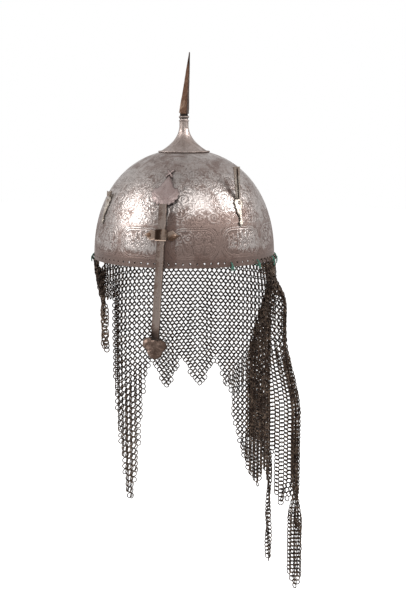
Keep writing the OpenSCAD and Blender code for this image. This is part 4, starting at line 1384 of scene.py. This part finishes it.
def make_base():
    share = np.linspace(0.035, 1, 60)
    flare = [(NECK_R + (BASE_R - NECK_R) * (1 - s) ** FLARE_POWER, BASE_Z + FLARE_H * s) for s in share]
    border = circle_profile(BASE_R - 0.2, BASE_Z + 0.75, 0.85, -120, 110, 9)
    neck = [(NECK_R, NECK_Z + 2), (NECK_R + 0.1, NECK_Z + 2.6)]
    neck += circle_profile(NECK_R + 0.1, NECK_Z + 3.4, 0.7, -80, 80, 6)
    neck += [(NECK_R - 0.2, NECK_TOP - 1), (NECK_R - 0.5, NECK_TOP + 0.2)]
    skirt = [(BASE_R - 1.2, bowl_top(BASE_R - 1.2) + 0.1)]

    def ripple(turn, z):
        rope = 0.16 * np.sin(ROPE_STRANDS * turn + 2.4 * z) * (z < BASE_Z + 1.7)
        hammered = 0.10 * np.sin(7 * turn + z / 3) * np.sin(z / 2.1 + 2 * np.sin(3 * turn))
        flute = bell(((turn * FLUTES / (2 * np.pi)) % 1 - 0.5) / 0.16)
        flutes = -0.12 * flute * smooth((NECK_Z - 6 - z) / 8) * (z > BASE_Z + 2)
        return rope + hammered + flutes

    revolve("base_flare", skirt + border + flare + neck, 720, ripple, 60, **FINIAL, replaced=["spike_base"])


def make_collar():
    middle = NECK_TOP + COLLAR_H / 2
    profile = [(NECK_R - 0.9, NECK_TOP - 0.2), (NECK_R - 0.4, NECK_TOP + 0.2)]
    profile += circle_profile(COLLAR_R - 1.5, middle - 0.3, 1.6, -80, 80, 12)
    profile += [(NECK_R - 0.8, COLLAR_TOP - 0.6), (NECK_R - 0.5, COLLAR_TOP), (0.5, COLLAR_TOP + 0.1)]
    high = np.array(profile)[:, 1]
    # Darkest away from the bead's middle, as painted shade in the creases above and below it; the bead's
    # middle stays lighter, a painted highlight
    dark = np.repeat(DARKEST - 1.3 * bell((high - middle) / 1.2), 96)
    revolve("collar_bead", profile, 96, lambda turn, z: 0.08 * np.sin(5 * turn + z), 60, **FINIAL,
            replaced=["spike_collar"], dark=dark)


def spike_turned(points):
    """From the spike's own upright place to its leaning one on the collar."""
    x, y, z = points.T
    x, y = turned(x, y, SPIKE_TURN - SPIKE_LEAN_TO)
    y, z = turned(y, z, SPIKE_LEAN)
    return np.column_stack([*turned(x, y, SPIKE_LEAN_TO), z + COLLAR_TOP + FOOT_H / 2])


def make_spike():
    random = np.random.default_rng(21)
    rows = []
    for t in np.linspace(0, 1, 80):
        w = (SPIKE_W + (SPIKE_TIP_W - SPIKE_W) * t) / 2
        w = w * (1 + 0.03 * math.sin(11 * t) + random.normal(0, 0.008))
        face = np.linspace(-0.9 * w, 0.9 * w, 6)
        one = np.full(6, w)
        section = np.concatenate([np.column_stack(pair) for pair in
                                  ((face, -one), (one, face), (-face, one), (-one, -face))])
        section = section + random.normal(0, 0.035, section.shape) * min(1, w / 2)
        rows.append(np.column_stack([section, np.full(24, t * (SPIKE_LEN - FOOT_H))]))
    points, faces = loft(rows)
    # Darker towards the tip; across the blade, painted shade on the facet to the right and a little on the
    # back, more at the front's right edge, and a slight painted highlight at the front's left edge
    tip_dark = 0.9 * smooth((np.linspace(0, 1, len(rows)) - 0.74) / 0.1)
    facet_shade = np.repeat([0.0, 0.75, 0.3, 0.0], 6)
    facet_shade[[0, 5]] = -0.2, 0.3
    mesh_piece("spike_blade", spike_turned(points), faces, crease=32, **SPIKE,
               dark=np.minimum(np.add.outer(tip_dark, facet_shade), DARKEST))
    r, z = SPIKE_W / 2, COLLAR_TOP
    foot = [(0.4, z - 0.3), (r - 0.8, z - 0.3), (r - 0.1, z + 0.3), (r, z + 1.2), (r - 0.4, z + 2.1),
            (2, z + 2.6)]
    revolve("spike_foot", foot, 48, lambda turn, z: 0.12 * np.sin(4 * turn + z), **SPIKE, dark=0.7)
    r, z = TANG_R, BOWL_H - BOWL_WALL - SEAT - ROVE_T
    peen = [(0.2, z - 1.5), (r, z - 1.3), (r + 1.4, z - 0.6), (r + 1.5, z), (r, z + 0.1)]
    revolve("tang_peen", peen, 32, lambda turn, z: 0.2 * np.sin(3 * turn), **SPIKE)


# Rings and ties in the rim holes

# The first hole with mail, counted from the nose guard, and the holes that thread ties in place of a ring
FIRST_HOLE = math.ceil(MAIL_FRONT * HOLES / 360)
TIED = (10, 15, 20, 23, 67)
TIE_START = 0.3
TIE_TURNS = 2.6
# The thread's two plies: their radius, their distance from its middle, and the length of one twist
PLY_R = 0.4
PLY_OFF = 0.32
PLY_PITCH = 2.4


def hang_frame(k):
    """Directions at the holes: outward, and round the rim."""
    a = 2 * np.pi * np.asarray(k, float) / HOLES
    out = np.stack([np.sin(a), -np.cos(a), 0 * a], axis=-1)
    return out, np.stack([np.cos(a), np.sin(a), 0 * a], axis=-1)


def make_hanging_rings():
    k = [k for k in range(FIRST_HOLE, HOLES - FIRST_HOLE + 1) if k not in TIED + BARE]
    out, way = hang_frame(k)
    random = np.random.default_rng(4)
    spin, nod = random.normal(0, 0.14, (2, len(k), 1))
    middle = out * (BOWL_R - BOWL_WALL / 2)
    middle[:, 2] = HOLE_Z - HOLE_R + HANG_PLAY + WIRE / 2 - MAIL_RING_R
    down = unit(np.array([0, 0, -1.0]) + nod * way)
    across = unit(np.cos(spin) * out + np.sin(spin) * way)
    points, faces = ring_meshes(middle, across, down, WIRE, random.uniform(2.5, 3.8, len(k)))
    mesh_piece("rim_rings", points, faces, MAIL_IRON, "mail_iron", replaced=["hanging_rings"])


def thread_loop(random, out, way, middle):
    """Thread wound a few times round the rim through one hole."""
    t = np.linspace(TIE_START, TIE_START + TIE_TURNS * 2 * np.pi, int(26 * TIE_TURNS))
    r = TIE_R + np.interp(t, np.linspace(t[0], t[-1], 9), random.normal(0, 0.16, 9))
    drift = np.interp(t, np.linspace(t[0], t[-1], 7), random.normal(0, 0.35, 7))
    return middle + np.outer(r * np.cos(t), out) + np.outer(r * np.sin(t), (0, 0, 1)) + np.outer(drift, way)


def plied(path):
    """Two plies twisted round a path."""
    along = unit(np.gradient(path, axis=0))
    side = unit(np.cross(along, (0.2, 0.3, 0.93)))
    other = np.cross(along, side)
    length = np.concatenate([[0], np.cumsum(np.linalg.norm(np.diff(path, axis=0), axis=1))])
    phase = (length / PLY_PITCH * 2 * np.pi)[:, None]
    for start in (0, np.pi):
        yield path + PLY_OFF * (np.cos(phase + start) * side + np.sin(phase + start) * other)


def make_ties():
    random = np.random.default_rng(16)
    parts = []
    for k in TIED:
        out, way = hang_frame(k)
        middle = out * (BOWL_R - BOWL_WALL / 2) + (0, 0, HOLE_Z - HOLE_R + HANG_PLAY + TIE_D / 2 - TIE_R)
        paths = [thread_loop(random, out, way, middle)]
        knot = middle + out * (TIE_R + 0.6) - (0, 0, 0.8)
        t = np.linspace(0, 4 * np.pi, 40)
        paths.append(knot + np.outer(0.8 * np.cos(t), way) + np.outer(0.75 * np.sin(t), (0, 0, 1))
                     + np.outer(0.55 * np.cos(1.5 * t), out))
        for side in (-1, 1):
            s = np.linspace(0, 1, 12)[:, None]
            reach = random.uniform(3.5, 7)
            paths.append(knot + s * side * way * random.uniform(1, 3) - s ** 1.3 * np.array([0, 0, reach])
                         + np.sin(3 * s) * out * random.uniform(0.2, 0.9))
        for path in paths:
            parts += [sweep(strand, PLY_R, 5) for strand in plied(path)]
    mesh_piece("green_ties", *joined(parts), THREAD, "tie_thread", replaced=["rim_ties"])


for name, solid in CAD.items():
    if not solid.hide_render:
        solid.data.materials.clear()
        solid.data.materials.append(NODE_LOOKS.get(name, MAIL_IRON))
make_mail()
make_bowl()
make_guard()
make_bracket()
make_plume_holders()
make_base()
make_collar()
make_spike()
make_hanging_rings()
make_ties()


# Stage, light and camera

CAMERA_TURN = 13.8
CAMERA_AWAY = 1.194
CAMERA_UP = 0.151
AIM_ASIDE = 0.0218
AIM_UP = -0.058
LENS = 60.5
SENSOR = 36
FLOOR_Z = -0.415
FLOOR_GLOW = 0.6
WORLD_DIM = 0.5
# Name, turn from the camera's side, height in degrees, distance, size and watts
LAMPS = (("left_box", -74, 28, 1.6, (0.6, 0.8), 18), ("front_box", 24, 40, 1.6, (1.1, 0.9), 14),
         ("right_box", 76, 32, 1.8, (0.45, 0.7), 18))


def seen_ray(tree, path):
    """Whether a ray shows the background, straight, in metal or through glass."""
    shown = calc(tree, "MAXIMUM", path.outputs["Is Camera Ray"], path.outputs["Is Glossy Ray"])
    return calc(tree, "MAXIMUM", shown, path.outputs["Is Transmission Ray"])


def make_floor():
    material, tree, shader = new_material("floor")
    for key, value in (("Base Color", (0.85, 0.85, 0.85, 1)), ("Roughness", 1), ("Specular IOR Level", 0)):
        shader.inputs[key].default_value = value
    path = node(tree, "LightPath")
    glow = node(tree, "Emission", {"Strength": calc(tree, "MULTIPLY", seen_ray(tree, path), FLOOR_GLOW)})
    both = node(tree, "AddShader", {0: shader.outputs[0], 1: glow.outputs[0]})
    tree.links.new(both.outputs[0], tree.nodes["Material Output"].inputs["Surface"])
    bpy.ops.mesh.primitive_plane_add(size=12, location=(0, 0, FLOOR_Z))
    floor = bpy.context.object
    floor.name = "floor"
    floor.data.materials.append(material)


def make_world():
    """White where the camera sees it, dim as light. Metal reflects it dimmer on the camera's side."""
    world = bpy.data.worlds.new("studio")
    bpy.context.scene.world = world
    world.use_nodes = True
    tree = world.node_tree
    tree.nodes.clear()
    path = node(tree, "LightPath")
    direction = node(tree, "TexCoord").outputs["Generated"]
    a = math.radians(CAMERA_TURN)
    facing = node(tree, "VectorMath", {0: direction, 1: (-math.sin(a), math.cos(a), 0.3)},
                  operation="DOT_PRODUCT").outputs["Value"]
    level = calc(tree, "MAXIMUM", span(tree, facing, -0.2, 0.7, 0.4, 1), path.outputs["Is Camera Ray"])
    white, dim = (node(tree, "Background", {"Color": (1, 1, 1, 1), "Strength": strength}).outputs[0]
                  for strength in (level, WORLD_DIM))
    mixed = node(tree, "MixShader", {0: seen_ray(tree, path), 1: dim, 2: white}).outputs[0]
    node(tree, "OutputWorld", {"Surface": mixed})


def facing_from(name, data, place, target):
    """A lamp or camera that stands at a place and looks at a target."""
    holder = bpy.data.objects.new(name, data)
    bpy.context.scene.collection.objects.link(holder)
    holder.location = place
    holder.rotation_mode = "QUATERNION"
    holder.rotation_quaternion = (Vector(target) - holder.location).to_track_quat("-Z", "Y")
    return holder


def make_lamp(name, turn, up, away, size, power):
    """A soft box that looks at the bowl. turn is counted from the camera's side, to its right."""
    lamp = bpy.data.lights.new(name, "AREA")
    lamp.shape = "RECTANGLE"
    lamp.size, lamp.size_y = size
    lamp.energy = power
    a, e = math.radians(CAMERA_TURN + turn), math.radians(up)
    flat = away * math.cos(e)
    facing_from(name, lamp, (flat * math.sin(a), -flat * math.cos(a), away * math.sin(e)), (0, 0, 0))


def make_camera():
    a = math.radians(CAMERA_TURN)
    camera = bpy.data.cameras.new("camera")
    camera.lens = LENS
    camera.sensor_width = SENSOR
    place = (CAMERA_AWAY * math.sin(a), -CAMERA_AWAY * math.cos(a), CAMERA_UP)
    target = (AIM_ASIDE * math.cos(a), AIM_ASIDE * math.sin(a), AIM_UP)
    bpy.context.scene.camera = facing_from("camera", camera, place, target)


make_floor()
make_world()
for lamp in LAMPS:
    make_lamp(*lamp)
make_camera()

bpy.context.scene.view_settings.view_transform = "Standard"
